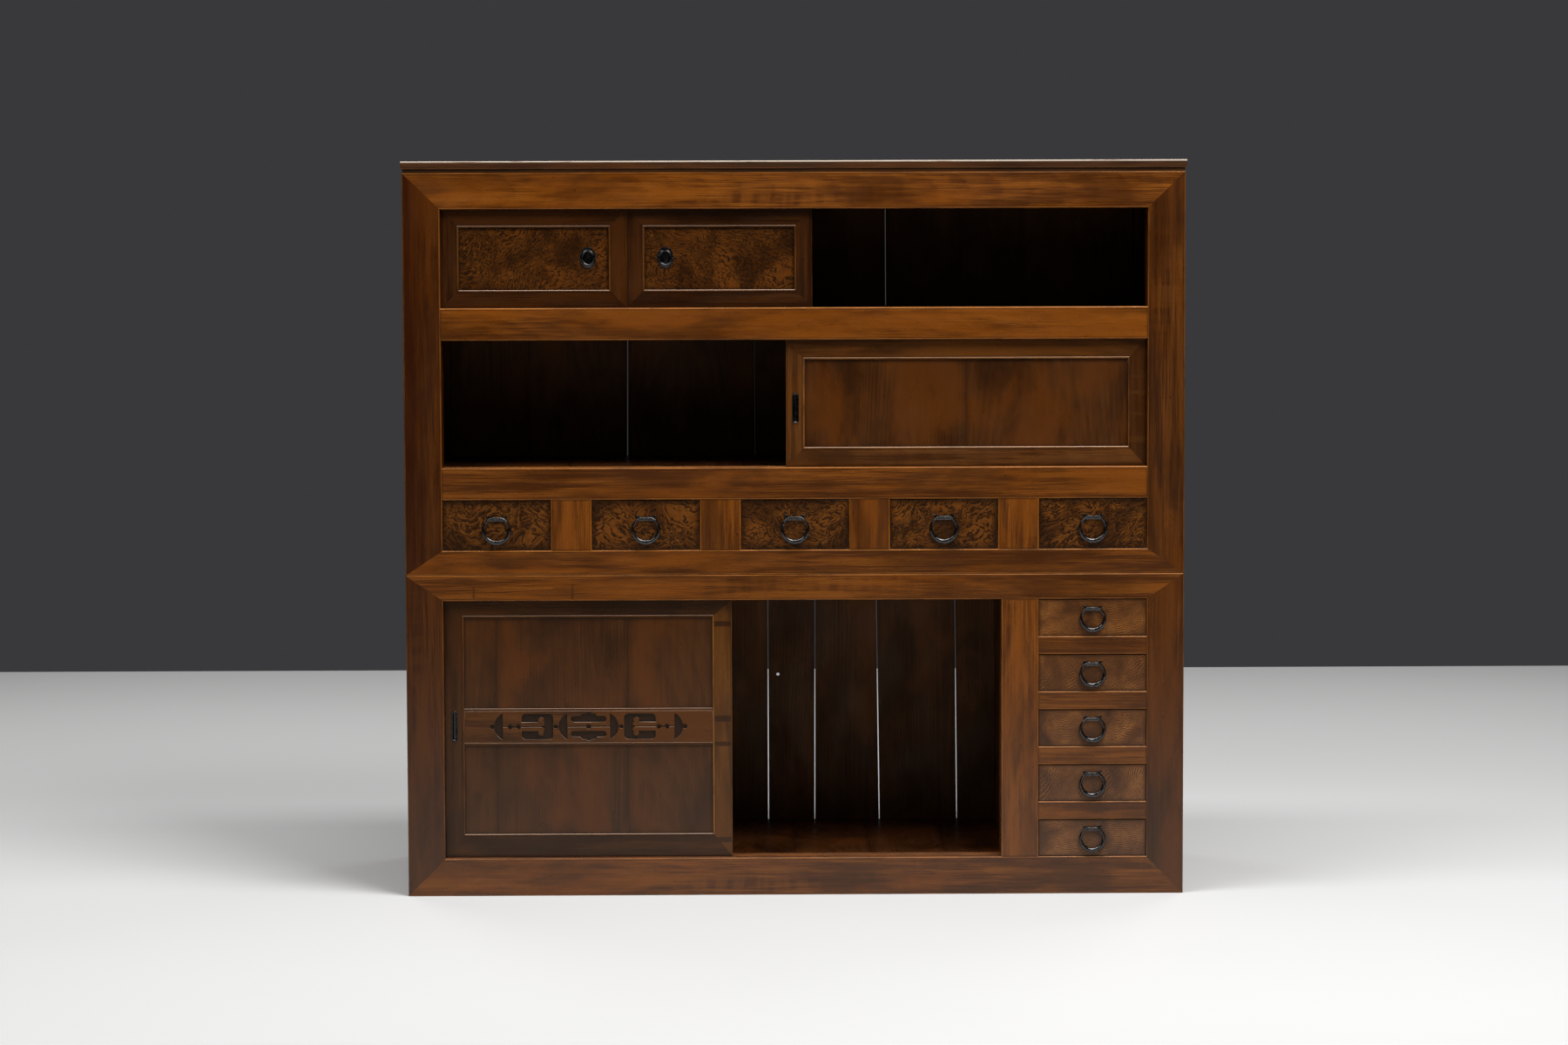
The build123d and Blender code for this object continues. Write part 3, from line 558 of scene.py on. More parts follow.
def board_wood(name, colour, ring_spacing, contrast, gloss_range=(0.26, 0.38), painted_shade_band=None):
    """Thin boards with clear growth rings, blotched, and darker round the edges with dirt and painted
    shade.

    painted_shade_band is the lowest and highest place of a rail in front, behind which the boards take
    painted shade; such boards are also greyed low down by a painted reflection of the floor.
    """
    wood = Wood(name)
    rings = wood.rings(ring_spacing, 0.035, 0.03)
    tone = wood.times_plus(wood.streaks(), 0.4, 0.45)
    tone = wood.times_plus(rings, -contrast, tone)
    tone = wood.times_plus(wood.luck, 0.2, tone)
    wood.body = wood.tones(tone, colour, (0.1, 0.5), (0.4, 0.84), (0.7, 1.08), (1.0, 1.3))
    wood.patch(wood.clouds(5, 6.5), 0.43, 0.66, 0.75, darker(colour, 0.4))
    glow = wood.clouds(3.6, 6, (6, 2, 2))
    wood.patch(glow, 0.46, 0.66, 0.8, warmer(colour, 1.7, 1.5))
    # Darker along the edges: dirt, and painted shade
    wood.cover(wood.grime_and_shade(14 * MM, 0.5), darker(colour, 0.3))
    wood.stain(wood.nicks(), 0.7, darker(colour, 0.15))
    if painted_shade_band:
        # Painted shade on the boards behind the carved rail, seen through its piercings
        behind = wood.within(wood.height(), *painted_shade_band, 2 * MM)
        wood.stain(behind, 0.9, darker(colour, 0.2))
        # A painted reflection of the pale floor greys the wood low down
        wood.floor_sheen(0.1)
    gloss = wood.span(wood.clouds(6, 12), 0.3, 0.7, *gloss_range)
    height = wood.times_plus(rings, -0.5, wood.streaks())
    return wood.finish(gloss, height, 0.2, tint=LACQUER_TINT)


def burl_wood(name, colour, eye_scale, levels, drift, strength):
    """Burl: scalloped contours that swirl and close round golden eyes, each dark at its rim.

    eye_scale sets how close the eyes lie, levels how many contours ring each of them, drift how
    many run across in a metre, and strength how far the contours show over the mottle.
    """
    wood = Wood(name)
    place = wood.figured(2.4, 0.4, 0.12)
    swell = wood.noise(place, (eye_scale, eye_scale * 0.55, eye_scale), 2.0, 0.5, 0.3)
    ripple = wood.noise(place, (150, 90, 120), 2.0, 0.6)
    run = wood.times(wood.split(place)["X"], drift)
    field = wood.times_plus(swell, levels, run)
    field = wood.times_plus(ripple, 1.0, field)
    phase = wood.math("FRACT", field)
    scallops = wood.tones(
        phase, colour, (0.0, 0.1), (0.28, 0.24), (0.44, 2.6), (0.62, 1.5), (0.96, 0.35)
    )
    mottle = wood.noise(place, (260, 90, 150), 3.0, 0.65, 0.5, shift=(7, 1, 2))
    mottled = wood.tones(mottle, colour, (0.34, 0.12), (0.47, 0.55), (0.55, 1.25), (0.68, 2.4))
    wood.body = wood.mix(strength, mottled, scallops)
    flecks = wood.noise(place, (420, 260, 300), 2.0, 0.6, shift=(2, 6, 4))
    wood.patch(flecks, 0.52, 0.68, 0.55, darker(colour, 2.6))
    wood.patch(flecks, 0.46, 0.34, 0.6, darker(colour, 0.15))
    gold = wood.noise(place, (16, 10, 14), 3.0, 0.5, 0.5, shift=(3, 5, 1))
    gold = wood.times(wood.span(gold, 0.46, 0.62, 0.0, 0.75), wood.span(phase, 0.3, 0.6))
    wood.cover(gold, warmer(colour, 2.2, 2.2, 1.9))
    patches = wood.noise(place, (13, 13, 13), 3.0, 0.5, shift=(1, 2, 3))
    wood.patch(patches, 0.44, 0.66, 0.65, darker(colour, 0.2))
    # Darker along the edges: dirt, and painted shade
    wood.cover(wood.grime_and_shade(14 * MM, 0.75), darker(colour, 0.12))
    gloss = wood.span(mottle, 0.3, 0.7, 0.34, 0.22)
    height = wood.times_plus(phase, -0.4, mottle)
    return wood.finish(gloss, height, 0.3, tint=LACQUER_TINT)


def wavy_wood(name, colour):
    """Ring-porous wood cut so that its rings run across the face in rippled waves."""
    wood = Wood(name)
    place = wood.figured(1.5, 0.5, 0.06)
    ripple = wood.noise(place, (42, 95, 60), 2.0, 0.55)
    run = wood.times(wood.split(place)["X"], 225.0)
    field = wood.times_plus(ripple, 2.4, run)
    phase = wood.math("FRACT", field)
    lines = wood.times(wood.span(phase, 0.0, 0.15), wood.span(phase, 0.25, 0.85, 1.0, 0.0))
    dots = wood.noise(place, (700, 260, 500), 1.0, 0.5)
    lines = wood.times(lines, wood.span(dots, 0.3, 0.62, 0.45, 1.0))
    mottle = wood.noise(place, (14, 14, 14), 4.0, 0.6, 0.3, shift=(5, 5, 5))
    wood.body = wood.tones(mottle, colour, (0.32, 0.34), (0.45, 0.85), (0.56, 1.3), (0.68, 2.0))
    wood.stain(lines, 0.95, darker(colour, 0.12))
    patches = wood.noise(place, (11, 11, 11), 3.0, 0.5, shift=(1, 2, 3))
    wood.patch(patches, 0.48, 0.66, 0.6, darker(colour, 0.32))
    # Darker along the edges: dirt, and painted shade
    wood.cover(wood.grime_and_shade(6 * MM, 0.6), darker(colour, 0.22))
    # A painted reflection of the pale floor greys the wood low down
    wood.floor_sheen(0.15)
    gloss = wood.span(mottle, 0.3, 0.7, 0.4, 0.28)
    height = wood.times_plus(lines, -0.7, mottle)
    return wood.finish(gloss, height, 0.3, tint=LACQUER_TINT)


def black_iron(name, colour):
    """Forged iron, blackened, with a rubbed grey shine where hands have worn it."""
    iron = Finish(name)
    place = iron.place()
    blotch = iron.noise(place, (160, 160, 160), 4.0, 0.6)
    grit = iron.noise(place, (900, 900, 900), 2.0, 0.5)
    iron.body = iron.tones(blotch, colour, (0.3, 0.4), (0.55, 1.0), (0.8, 1.6))
    iron.patch(blotch, 0.58, 0.74, 0.2, warmer(colour, 1.3, 0.9, 0.7))
    gloss = iron.span(blotch, 0.3, 0.7, 0.14, 0.3)
    return iron.finish(gloss, grit, 0.15, level=0.5, metallic=1.0)


# ---------------------------------------------------------------- boards


def boards_of(shape):
    """The separate solids of a mesh, each as a list of its faces."""
    shape.faces.ensure_lookup_table()
    seen = set()
    boards = []
    for first in shape.faces:
        if first.index in seen:
            continue
        seen.add(first.index)
        board = [first]
        for face in board:
            for edge in face.edges:
                for near in edge.link_faces:
                    if near.index not in seen:
                        seen.add(near.index)
                        board.append(near)
        boards.append(board)
    return boards


def corners_of(faces):
    """The lowest and highest corners of some faces."""
    points = [vert.co for face in faces for vert in face.verts]
    low = Vector(min(point[axis] for point in points) for axis in range(3))
    high = Vector(max(point[axis] for point in points) for axis in range(3))
    return low, high


def planes_of(faces):
    """The flat faces grouped by the plane they lie in, each with its axis, and the rest one by one."""
    groups = {}
    for face in faces:
        square = max(range(3), key=lambda axis: abs(face.normal[axis]))
        key = (None, face.index)
        if abs(face.normal[square]) > SQUARE:
            place = round(face.verts[0].co[square] * PLANES_PER_METRE)
            key = (square, face.normal[square] > 0, place)
        groups.setdefault(key, []).append(face)
    return [(key[0], group) for key, group in groups.items()]


def mark_board(shape, faces, luck, second_luck, upright_grain):
    """Writes on each corner of a board where it lies in the grain and on its face.

    The grain runs along the board's longest side, or upright. The edge layers hold how far the
    corner is from the near and the far end and side of its face, and beside them the board's
    luck, two random numbers from 0 to 1. An eased edge is not square to any axis: it takes half
    its width for both sides, and its ends count as further off.
    """
    grain, low_edge, high_edge = (shape.loops.layers.float_vector[name] for name in BOARD_LAYERS)
    low, high = corners_of(faces)
    middle = (low + high) / 2
    order = sorted(range(3), key=lambda axis: low[axis] - high[axis])
    if upright_grain:
        order.sort(key=lambda axis: axis != 2)
    for square, group in planes_of(faces):
        face_low, face_high = corners_of(group)
        first, second = [axis for axis in order if axis != square][:2]
        half_width = group[0].calc_area() / max(edge.calc_length() for edge in group[0].edges) / 2
        for loop in [loop for face in group for loop in face.loops]:
            point = loop.vert.co
            local = point - middle
            near, far = point - face_low, face_high - point
            near_place, far_place = (near[first], near[second]), (far[first], far[second])
            if square is None:
                near_place, far_place = ((way[first] + EASED_END, half_width) for way in (near, far))
            loop[grain] = (local[order[0]] + TIMBER_LENGTH * luck, local[order[1]], local[order[2]])
            loop[low_edge] = (*near_place, luck)
            loop[high_edge] = (*far_place, second_luck)


def is_mitre(face):
    """Whether a face is the slanting cut where two mitred boards meet."""
    return abs(face.normal.x) > 0.3 and abs(face.normal.z) > 0.3 and abs(face.normal.y) < 0.1


def round_edges(shape, edges, amount):
    bmesh.ops.bevel(
        shape, geom=edges, offset=amount, segments=2, profile=0.5, affect="EDGES", material=-1
    )


def ease_edges(shape, amount):
    """Rounds the long sharp outer edges, so that they catch the light, but not the mitres."""
    sharp = [
        edge
        for edge in shape.edges
        if len(edge.link_faces) == 2
        and edge.calc_length() > SHORT_EDGE
        and edge.is_convex
        and edge.calc_face_angle() > SHARP_ANGLE
        and not any(is_mitre(face) for face in edge.link_faces)
    ]
    round_edges(shape, sharp, amount)


def new_object(name, shape):
    """Makes an object at the origin of a finished bmesh."""
    mesh = bpy.data.meshes.new(name)
    shape.to_mesh(mesh)
    shape.free()
    made = bpy.data.objects.new(name, mesh)
    bpy.context.collection.objects.link(made)
    return made


def dressed(node_name, wood, arris=0, upright_grain=False):
    """A copy of a CAD node with eased edges and its grain marked, which stands for the node.

    wood is one material, or a function that gives each board's from its lowest and highest
    corners, and None for a board that another piece stands for.
    """
    node = frame["nodes"][node_name]
    shape = bmesh.new()
    shape.from_mesh(node.data)
    bmesh.ops.remove_doubles(shape, verts=shape.verts, dist=0.01 * MM)
    bmesh.ops.dissolve_limit(shape, angle_limit=FLAT_ANGLE, verts=shape.verts, edges=shape.edges)
    for face in shape.faces:
        face.smooth = True
    materials = []
    left_out = []
    lucky = random.Random(node_name)
    for board in boards_of(shape):
        material = wood(*corners_of(board)) if callable(wood) else wood
        if material is None:
            left_out += board
            continue
        if material not in materials:
            materials.append(material)
        for face in board:
            face.material_index = materials.index(material)
    bmesh.ops.delete(shape, geom=left_out, context="FACES")
    if arris:
        ease_edges(shape, arris)
    for name in BOARD_LAYERS:
        shape.loops.layers.float_vector.new(name)
    shape.normal_update()
    for edge in shape.edges:
        edge.smooth = len(edge.link_faces) == 2 and edge.calc_face_angle() < SHARP_ANGLE
    for board in boards_of(shape):
        mark_board(shape, board, lucky.random(), lucky.random(), upright_grain)
    piece = new_object(f"{node_name}_dressed", shape)
    for material in materials:
        piece.data.materials.append(material)
    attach(piece, BODY_OF[node_name])
    weighted = piece.modifiers.new("Face weighted normals", "WEIGHTED_NORMAL")
    weighted.weight = 50
    weighted.keep_sharp = True
    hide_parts(node_name)


# ---------------------------------------------------------------- ironwork


def iron_piece(name, shape, body, iron):
    """Finishes a piece of ironwork, with its faces pointing outwards and smooth."""
    bmesh.ops.remove_doubles(shape, verts=shape.verts, dist=0.005 * MM)
    bmesh.ops.recalc_face_normals(shape, faces=shape.faces)
    for face in shape.faces:
        face.smooth = True
    for edge in shape.edges:
        edge.smooth = len(edge.link_faces) != 2 or edge.calc_face_angle() < IRON_SHARP_ANGLE
    piece = new_object(name, shape)
    piece.data.materials.append(iron)
    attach(piece, body)
    return piece


def add_rod(shape, start_x, end_x, y, z, radius):
    """A round bar along X with domed ends."""
    turn = Matrix.Rotation(math.radians(90), 4, "Y")
    middle = Matrix.Translation(((start_x + end_x) / 2, y, z))
    made = bmesh.ops.create_cone(
        shape, cap_ends=True, segments=20, radius1=radius, radius2=radius,
        depth=end_x - start_x, matrix=middle @ turn,
    )
    rims = [
        edge
        for vert in made["verts"]
        for edge in vert.link_edges
        if abs(edge.verts[0].co.x - edge.verts[1].co.x) < 0.01 * MM
    ]
    round_edges(shape, list(dict.fromkeys(rims)), radius * 0.3)


def add_bead(shape, spot, diameter):
    bmesh.ops.create_icosphere(
        shape, subdivisions=2, radius=diameter / 2, matrix=Matrix.Translation(spot)
    )


def ring_loop(centre, radius, sizes):
    """A crescent ring: round bar, heavy at its foot, thin and open where the pin goes."""
    shape = bmesh.new()
    half_mouth = math.asin(RING_MOUTH / 2 / radius)
    unit = 1 * MM
    section = Matrix.Translation((0, 0, radius)) @ Matrix.Rotation(math.radians(90), 4, "Y")
    made = bmesh.ops.create_circle(shape, segments=18, radius=unit, matrix=section)
    bmesh.ops.rotate(
        shape, verts=made["verts"], cent=(0, 0, 0), matrix=Matrix.Rotation(half_mouth, 3, "Y")
    )
    bmesh.ops.spin(
        shape, geom=shape.verts[:] + shape.edges[:], cent=(0, 0, 0), axis=(0, 1, 0),
        angle=2 * (math.pi - half_mouth), steps=56, use_merge=False,
    )
    for vert in shape.verts:
        out = Vector((vert.co.x, 0, vert.co.z))
        level = (1 - out.normalized().z) / 2
        thick = sizes.ring_top + (sizes.ring_bottom - sizes.ring_top) * level ** RING_SWELL
        deep = min(sizes.ring_depth, thick * RING_ROUNDNESS)
        across = (out.length - radius) / unit
        vert.co = out.normalized() * (radius - thick / 2 + across * thick / 2) + Vector(
            (0, vert.co.y / unit * deep / 2, 0)
        )
    open_edges = [edge for edge in shape.edges if edge.is_boundary]
    bmesh.ops.holes_fill(shape, edges=open_edges, sides=0)
    pin_end = RING_MOUTH / 2 + PIN_BITE
    add_rod(shape, -pin_end, pin_end, 0, radius - PIN_DROP, PIN_RADIUS)
    bmesh.ops.translate(shape, verts=shape.verts, vec=centre)
    return shape


def ring_mount(centre, radius, sizes):
    """A horned plate with a hollowed top, its barrel, and a row of beads over the ring."""
    shape = bmesh.new()
    axis_z = radius - PIN_DROP
    plate_back = BARREL_RADIUS + PLATE_THICK
    foot = axis_z - MOUNT_SKIRT * radius
    dip = axis_z + MOUNT_DIP * radius
    plate = bmesh.ops.create_grid(shape, x_segments=16, y_segments=1, size=1)
    for vert in plate["verts"]:
        share = vert.co.x
        if vert.co.y > 0:
            half_width = MOUNT_HALF_WIDTH * radius
            height = dip + MOUNT_HORN * radius * abs(share) ** MOUNT_HORN_CURVE
        else:
            half_width = MOUNT_FOOT_HALF_WIDTH * radius
            height = foot + MOUNT_FOOT_BOW * math.cos(share * math.pi / 2)
        vert.co = (share * half_width, plate_back, height)
    front = bmesh.ops.extrude_face_region(shape, geom=shape.faces[:])
    moved = [item for item in front["geom"] if isinstance(item, bmesh.types.BMVert)]
    bmesh.ops.translate(shape, verts=moved, vec=(0, -PLATE_THICK, 0))
    rim = [
        edge
        for edge in shape.edges
        if len(edge.link_faces) == 2
        and edge.calc_face_angle() > PLATE_RIM_ANGLE
        and all(vert in moved for vert in edge.verts)
    ]
    round_edges(shape, rim, PLATE_EASE)
    half_barrel = BARREL_LENGTH / 2
    slim_radius = BARREL_RADIUS - BARREL_SLIMMED
    add_rod(shape, -half_barrel, half_barrel, BARREL_SETBACK, axis_z, slim_radius)
    for place in range(MOUNT_BEADS):
        share = 2 * place / (MOUNT_BEADS - 1) - 1
        bead_y = sizes.bead / 2 + BEAD_SINK - BARREL_RADIUS
        bead_z = axis_z + MOUNT_BEAD_RISE - share**2 * MOUNT_BEAD_ARCH
        add_bead(shape, (share * half_barrel, bead_y, bead_z), sizes.bead)
    bmesh.ops.translate(shape, verts=shape.verts, vec=centre)
    return shape


def stepped_cup(steps, straight, segments=48):
    """A closed shell drawn out, step by step, from an oval or a long round-ended rim.

    steps lists (half width, half height, y) of each step; straight is the length of the
    straight sides, or nothing for an oval.
    """
    shape = bmesh.new()
    unit = shape.verts.layers.float_vector.new("unit")
    upright = Matrix.Rotation(math.radians(90), 4, "X")
    half_step = Matrix.Rotation(math.pi / segments, 4, "Y")
    made = bmesh.ops.create_circle(shape, segments=segments, radius=1, matrix=half_step @ upright)
    verts, edges = made["verts"], shape.edges[:]
    first_edges = edges
    for vert in verts:
        vert[unit] = vert.co
    for number, (half_width, half_height, y) in enumerate(steps):
        if number:
            drawn = bmesh.ops.extrude_edge_only(shape, edges=edges)["geom"]
            verts = [item for item in drawn if isinstance(item, bmesh.types.BMVert)]
            edges = [item for item in drawn if isinstance(item, bmesh.types.BMEdge)]
        for vert in verts:
            x, _, z = vert[unit]
            vert.co = (x * half_width, y, z * half_height + math.copysign(straight / 2, z))
    for end_edges in (first_edges, edges):
        bmesh.ops.contextual_create(shape, geom=end_edges)
    return shape


def oval_cup(sizes):
    """An oval iron cup with a raised inner lip and a beaded outer edge."""
    outer_w, outer_h = OVAL_HALF_WIDTH, OVAL_HALF_HEIGHT
    mouth_w, mouth_h = OVAL_MOUTH_HALF_WIDTH, OVAL_MOUTH_HALF_HEIGHT
    shape = stepped_cup(
        [
            (mouth_w, mouth_h, CUP_DEPTH),
            (mouth_w, mouth_h, 0),
            (outer_w - 0.4 * MM, outer_h - 0.4 * MM, 0),
            (outer_w, outer_h, -0.5 * MM),
            (outer_w - 0.6 * MM, outer_h - 0.6 * MM, -1.1 * MM),
            (mouth_w + 3.2 * MM, mouth_h + 3.8 * MM, -1.0 * MM),
            (mouth_w + 1.6 * MM, mouth_h + 1.9 * MM, -2.3 * MM),
            (mouth_w + 0.3 * MM, mouth_h + 0.4 * MM, -2.5 * MM),
            (mouth_w - 0.9 * MM, mouth_h - 0.9 * MM, -1.6 * MM),
            (mouth_w - 1.3 * MM, mouth_h - 1.3 * MM, CUP_DEPTH - 3 * MM),
            (mouth_w - 3.2 * MM, mouth_h - 3.2 * MM, CUP_DEPTH - 1.2 * MM),
        ],
        0,
    )
    for place in range(OVAL_BEADS):
        angle = 2 * math.pi * place / OVAL_BEADS
        bead_x = (outer_w - OVAL_BEAD_INSET) * math.cos(angle)
        bead_z = (outer_h - OVAL_BEAD_INSET) * math.sin(angle)
        add_bead(shape, (bead_x, -1.0 * MM, bead_z), sizes.oval_bead)
    return shape


def bar_cup():
    """A long narrow iron cup with a thin rounded rim, drawn as insets from its edge and depths."""
    profile = (
        (2.3 * MM, CUP_DEPTH),
        (2.3 * MM, 0),
        (0.1 * MM, 0),
        (0, -0.6 * MM),
        (0.5 * MM, -1.3 * MM),
        (1.6 * MM, -1.5 * MM),
        (2.8 * MM, -1.0 * MM),
        (3.5 * MM, 0),
        (3.5 * MM, CUP_DEPTH - 2.5 * MM),
        (5.0 * MM, CUP_DEPTH - 1.2 * MM),
    )
    steps = [(BAR_HALF_WIDTH - inset, BAR_HALF_WIDTH - inset, y) for inset, y in profile]
    return stepped_cup(steps, BAR_STRAIGHT)


# ---------------------------------------------------------------- operators


def colours_of(context):
    """The chosen colours by name, as plain tuples."""
    chosen = context.scene.cabinet_colours
    return SimpleNamespace(**{name: tuple(getattr(chosen, name)) for name in chosen.__annotations__})


class CABINET_OT_case(bpy.types.Operator):
    """Dresses the two cases: top board, posts, rails, walls, boards and dividers"""

    bl_idname = "cabinet.case"
    bl_label = "Case woodwork"

    def execute(self, context):
        colours, arris = colours_of(context), context.scene.cabinet_sizes.arris
        rail = case_wood("Rail wood", colours.rail, stains=True)
        # The posts take painted shade towards the left, as if lit from the right
        post = case_wood("Post wood", colours.post, painted_shade_left=0.85)
        cap = case_wood("Top board wood", colours.cap, scuff_and_highlight=colours.scuff_and_highlight)
        inner = board_wood("Inside boards", colours.inner, 7 * MM, 0.35, (0.4, 0.6))
        floor = board_wood("Floor boards", darker(colours.inner, 0.5), 7 * MM, 0.35, (0.2, 0.4))
        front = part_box("upper_posts")[0][1] + LACQUERED_REACH

        def rail_or_inner(low, high):
            return rail if low.y < front else inner

        for name in ("upper_posts", "lower_posts"):
            dressed(name, post, arris)
        for name in ("upper_front_rails", "lower_front_rails", "upper_side_walls", "lower_side_walls"):
            dressed(name, rail, arris)
        dressed("top_board", cap, arris)
        for name in ("upper_back_boards", "lower_back_boards"):
            dressed(name, inner)
        for name in ("upper_shelves", "lower_floor_boards"):
            dressed(name, floor)
        for name in ("upper_drawer_dividers", "lower_partition", "lower_drawer_rails"):
            dressed(name, rail_or_inner, arris)
        return {"FINISHED"}


class CABINET_OT_doors(bpy.types.Operator):
    """Dresses the sliding doors: their frames, panels and carved rails"""

    bl_idname = "cabinet.doors"
    bl_label = "Sliding doors"

    def execute(self, context):
        colours, sizes = colours_of(context), context.scene.cabinet_sizes
        door, bare, panel = colours.door, colours.bare, colours.panel
        small_frames = door_wood("Small door frame wood", darker(door, 0.58))
        middle_frames = door_wood("Middle door frame wood", darker(door, 1.3))
        large_frames = door_wood("Large door frame wood", darker(door, 0.64))
        large_stile = door_wood("Bare stile", bare, LARGE_STILE_BANDS, darker(door, 0.35))
        middle_stile = door_wood("Rubbed stile", darker(door, 0.6), MIDDLE_STILE_RUBS, darker(bare, 0.8))
        carved = door_wood("Carved rail wood", darker(panel, 1.2))
        burl = burl_wood("Burl panels", darker(colours.burl, 0.78), 80, 3.6, 100.0, 0.5)
        plain = board_wood("Middle door boards", panel, 6.5 * MM, 0.3)
        # Behind the carved rail the boards take painted shade over the rail's height
        rail_low, rail_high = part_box("large_door_front_carved_rail")
        behind_rail = (rail_low[2], rail_high[2])
        reddish = board_wood("Large door boards", panel, 7 * MM, 0.26, painted_shade_band=behind_rail)
        for name in OVAL_DOORS:
            dressed(f"{name}_frame", small_frames, sizes.arris)
            dressed(f"{name}_panel", burl)
        for name in BAR_DOORS:
            worn, framing, boards = middle_stile, middle_frames, plain
            if name.startswith("large"):
                worn, framing, boards = large_stile, large_frames, reddish
            stile_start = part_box(f"{name}_frame")[1][0] - STILE_REACH

            def frame_part(low, high):
                return worn if low.x > stile_start else framing

            dressed(f"{name}_frame", frame_part, sizes.arris)
            dressed(f"{name}_panel", boards, upright_grain=True)
        for name in ("large_door_front", "large_door_rear"):
            dressed(f"{name}_carved_rail", carved, sizes.carved_edge)
        return {"FINISHED"}


class CABINET_OT_drawers(bpy.types.Operator):
    """Dresses the ten drawers: burl fronts above, rippled fronts below, plain boxes behind"""

    bl_idname = "cabinet.drawers"
    bl_label = "Drawers"

    def execute(self, context):
        colours, arris = colours_of(context), context.scene.cabinet_sizes.arris
        burl = burl_wood("Upper drawer burl", colours.burl, 40, 6.0, 45.0, 0.8)
        wavy = wavy_wood("Lower drawer fronts", colours.drawer)
        box_wood = board_wood("Drawer boxes", darker(colours.inner, 1.4), 6 * MM, 0.3, (0.4, 0.6))
        for name in DRAWERS:
            front_wood = burl if name.startswith("upper") else wavy

            def drawer_part(low, high):
                depth = high.y - low.y
                if depth < DRAWER_MOUNT_DEPTH:
                    return None
                return front_wood if depth < DRAWER_FRONT_DEPTH else box_wood

            dressed(name, drawer_part, arris)
        return {"FINISHED"}


class CABINET_OT_ring_pulls(bpy.types.Operator):
    """Makes the iron rings of the drawers and their horned, beaded mounts"""

    bl_idname = "cabinet.ring_pulls"
    bl_label = "Ring pulls"

    def execute(self, context):
        sizes = context.scene.cabinet_sizes
        iron = black_iron("Black iron", colours_of(context).iron)
        for drawer in DRAWERS:
            ring = drawer.replace("drawer", "ring")
            low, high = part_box(ring)
            radius = (high[0] - low[0]) / 2
            centre = Vector(((low[0] + high[0]) / 2, (low[1] + high[1]) / 2, low[2] + radius))
            loop = iron_piece(f"{ring}_loop", ring_loop(centre, radius, sizes), BODY_OF[ring], iron)
            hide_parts(ring)
            mount = ring_mount(centre, radius, sizes)
            iron_piece(f"{drawer}_mount", mount, BODY_OF[drawer], iron)
        return {"FINISHED"}


class CABINET_OT_cup_pulls(bpy.types.Operator):
    """Makes the oval cups of the small doors and the long cups of the others"""

    bl_idname = "cabinet.cup_pulls"
    bl_label = "Cup pulls"

    def execute(self, context):
        sizes = context.scene.cabinet_sizes
        iron = black_iron("Cup iron", darker(colours_of(context).iron, 0.8))
        for name in OVAL_DOORS + BAR_DOORS:
            low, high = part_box(f"{name}_pull")
            shape = oval_cup(sizes) if name in OVAL_DOORS else bar_cup()
            seat_y = high[1] - CUP_DEPTH
            place = ((low[0] + high[0]) / 2, seat_y, (low[2] + high[2]) / 2)
            bmesh.ops.translate(shape, verts=shape.verts, vec=place)
            cup = iron_piece(f"{name}_cup", shape, BODY_OF[f"{name}_pull"], iron)
            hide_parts(f"{name}_pull")
        return {"FINISHED"}


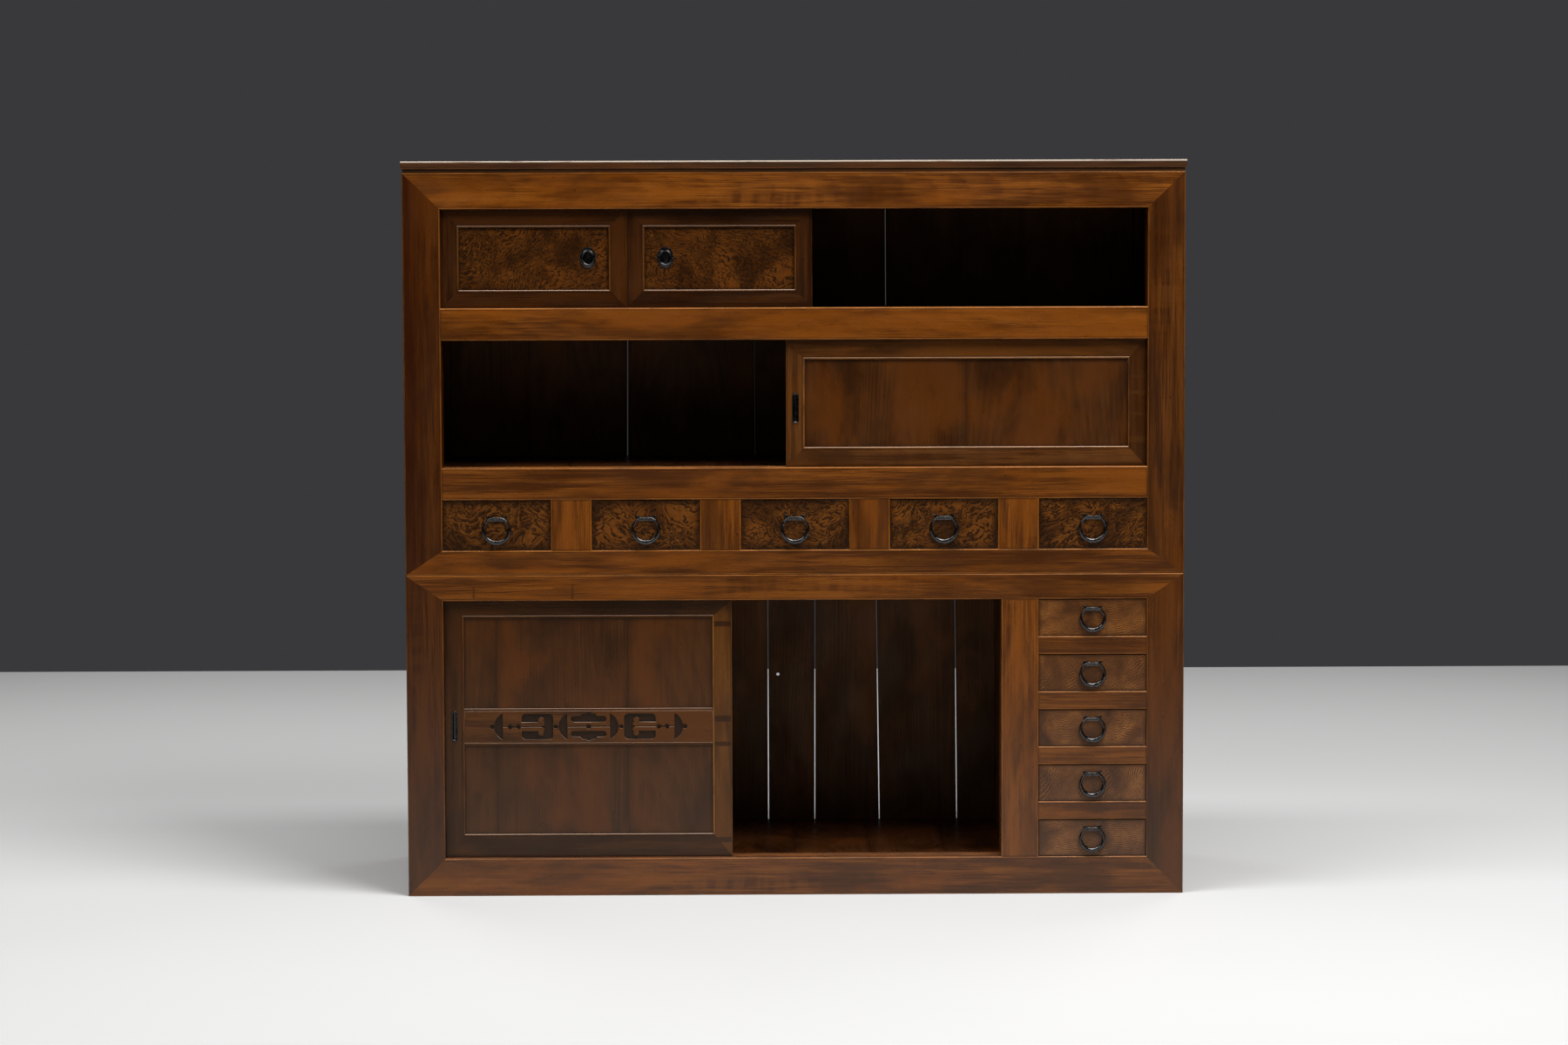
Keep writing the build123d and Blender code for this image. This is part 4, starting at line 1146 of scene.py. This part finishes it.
class CABINET_OT_studio(bpy.types.Operator):
    """Sets up the pale floor, the grey backdrop, the soft lamps and the camera"""

    bl_idname = "cabinet.studio"
    bl_label = "Studio"

    def execute(self, context):
        colours = colours_of(context)
        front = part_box("upper_posts")[0][1]
        self.floor(colours.floor)
        self.backdrop(context, colours.backdrop)
        self.lamp("Key", (1.9, front - 2.6, 4.7), (0, 0, 0.9), (2.4, 1.8), 235)
        self.lamp("Fill", (-2.8, front - 3.0, 4.5), (0, 0, 0.8), (2.4, 1.8), 70)
        self.lamp("Top", (0, front - 0.7, 4.9), (0, front - 0.7, 0), (3.6, 0.8), 190)
        self.lamp("Back left", (-3.2, 3.9, 3.6), (0, 0, 0.8), (2.4, 1.6), 65)
        self.lamp("Back right", (3.2, 3.9, 3.6), (0, 0, 0.8), (2.4, 1.6), 65)
        self.camera(context, front)
        return {"FINISHED"}

    def floor(self, colour):
        """A floor that runs from in front of the camera to well behind the cabinet."""
        spread = Matrix.Translation(FLOOR_CENTRE) @ Matrix.Diagonal((*FLOOR_HALF_SIZE, 1, 1))
        shape = bmesh.new()
        bmesh.ops.create_grid(shape, x_segments=1, y_segments=1, size=1, matrix=spread)
        floor = new_object("Floor", shape)
        plain = Finish("Floor")
        mottle = plain.noise(plain.place(), (0.8, 0.8, 0.8), 2.0, 0.5)
        plain.body = plain.mix(mottle, darker(colour, 0.96), colour)
        floor.data.materials.append(plain.finish(0.6, level=0.2))

    def backdrop(self, context, colour):
        """A plain grey backdrop, which gives next to no light of its own.

        It shows to the camera, in gloss and through glass.
        """
        world = bpy.data.worlds.new("Studio")
        world.use_nodes = True
        studio = Nodes(world.node_tree)
        seen = studio.tree.nodes["Background"]
        studio.feed(seen.inputs["Color"], (*colour, 1))
        glow = studio.node("ShaderNodeBackground", {"Strength": AMBIENT})
        ray = studio.node("ShaderNodeLightPath", {}).outputs
        shown = studio.math("MAXIMUM", ray["Is Camera Ray"], ray["Is Glossy Ray"])
        shown = studio.math("MAXIMUM", shown, ray["Is Transmission Ray"])
        light = studio.node("ShaderNodeMixShader", {0: shown, 1: glow.outputs[0], 2: seen.outputs[0]})
        studio.feed(studio.tree.nodes["World Output"].inputs["Surface"], light.outputs[0])
        context.scene.world = world

    def lamp(self, name, place, aim, size, power):
        data = bpy.data.lights.new(name, "AREA")
        data.shape = "RECTANGLE"
        data.size, data.size_y = size
        data.energy = power
        lamp = bpy.data.objects.new(name, data)
        lamp.visible_camera = False
        lamp.location = place
        way = Vector(aim) - Vector(place)
        lamp.rotation_euler = way.to_track_quat("-Z", "Y").to_euler()
        bpy.context.collection.objects.link(lamp)

    def camera(self, context, front):
        """Stands the camera far in front of the cabinet, looking slightly down."""
        pitch, roll, yaw = (math.radians(angle) for angle in (CAMERA_PITCH, CAMERA_ROLL, CAMERA_YAW))
        level = Vector((-math.sin(yaw), math.cos(yaw), 0))
        side = Vector((math.cos(yaw), math.sin(yaw), 0))
        forward = level * math.cos(pitch) - Vector((0, 0, math.sin(pitch)))
        above = level * math.sin(pitch) + Vector((0, 0, math.cos(pitch)))
        right = side * math.cos(roll) - above * math.sin(roll)
        up = side * math.sin(roll) + above * math.cos(roll)
        data = bpy.data.cameras.new("Camera")
        data.lens = CAMERA_LENS
        data.sensor_width = CAMERA_FILM
        camera = bpy.data.objects.new("Camera", data)
        camera.matrix_world = Matrix.LocRotScale(
            Vector((CAMERA_SIDE, front - CAMERA_DISTANCE, CAMERA_HEIGHT)),
            Matrix((right, up, -forward)).transposed(),
            None,
        )
        context.collection.objects.link(camera)
        context.scene.camera = camera
        context.scene.view_settings.view_transform = "Standard"


class CABINET_PT_panel(bpy.types.Panel):
    """Lists the steps that dress the cabinet"""

    bl_idname = "CABINET_PT_panel"
    bl_label = "Cabinet"
    bl_space_type = "VIEW_3D"
    bl_region_type = "UI"
    bl_category = "Cabinet"

    def draw(self, context):
        for settings in (context.scene.cabinet_colours, context.scene.cabinet_sizes):
            box = self.layout.box()
            for name in settings.__annotations__:
                box.prop(settings, name)
        for step in STEPS:
            self.layout.operator(step.bl_idname)


STEPS = (
    CABINET_OT_case,
    CABINET_OT_doors,
    CABINET_OT_drawers,
    CABINET_OT_ring_pulls,
    CABINET_OT_cup_pulls,
    CABINET_OT_studio,
)
CLASSES = (CabinetColours, CabinetSizes, *STEPS, CABINET_PT_panel)


def register():
    for item in CLASSES:
        bpy.utils.register_class(item)
    bpy.types.Scene.cabinet_colours = bpy.props.PointerProperty(type=CabinetColours)
    bpy.types.Scene.cabinet_sizes = bpy.props.PointerProperty(type=CabinetSizes)


def unregister():
    del bpy.types.Scene.cabinet_sizes
    del bpy.types.Scene.cabinet_colours
    for item in reversed(CLASSES):
        bpy.utils.unregister_class(item)


def main():
    register()
    bpy.ops.cabinet.case()
    bpy.ops.cabinet.doors()
    bpy.ops.cabinet.drawers()
    bpy.ops.cabinet.ring_pulls()
    bpy.ops.cabinet.cup_pulls()
    bpy.ops.cabinet.studio()


if __name__ == "__main__":
    main()
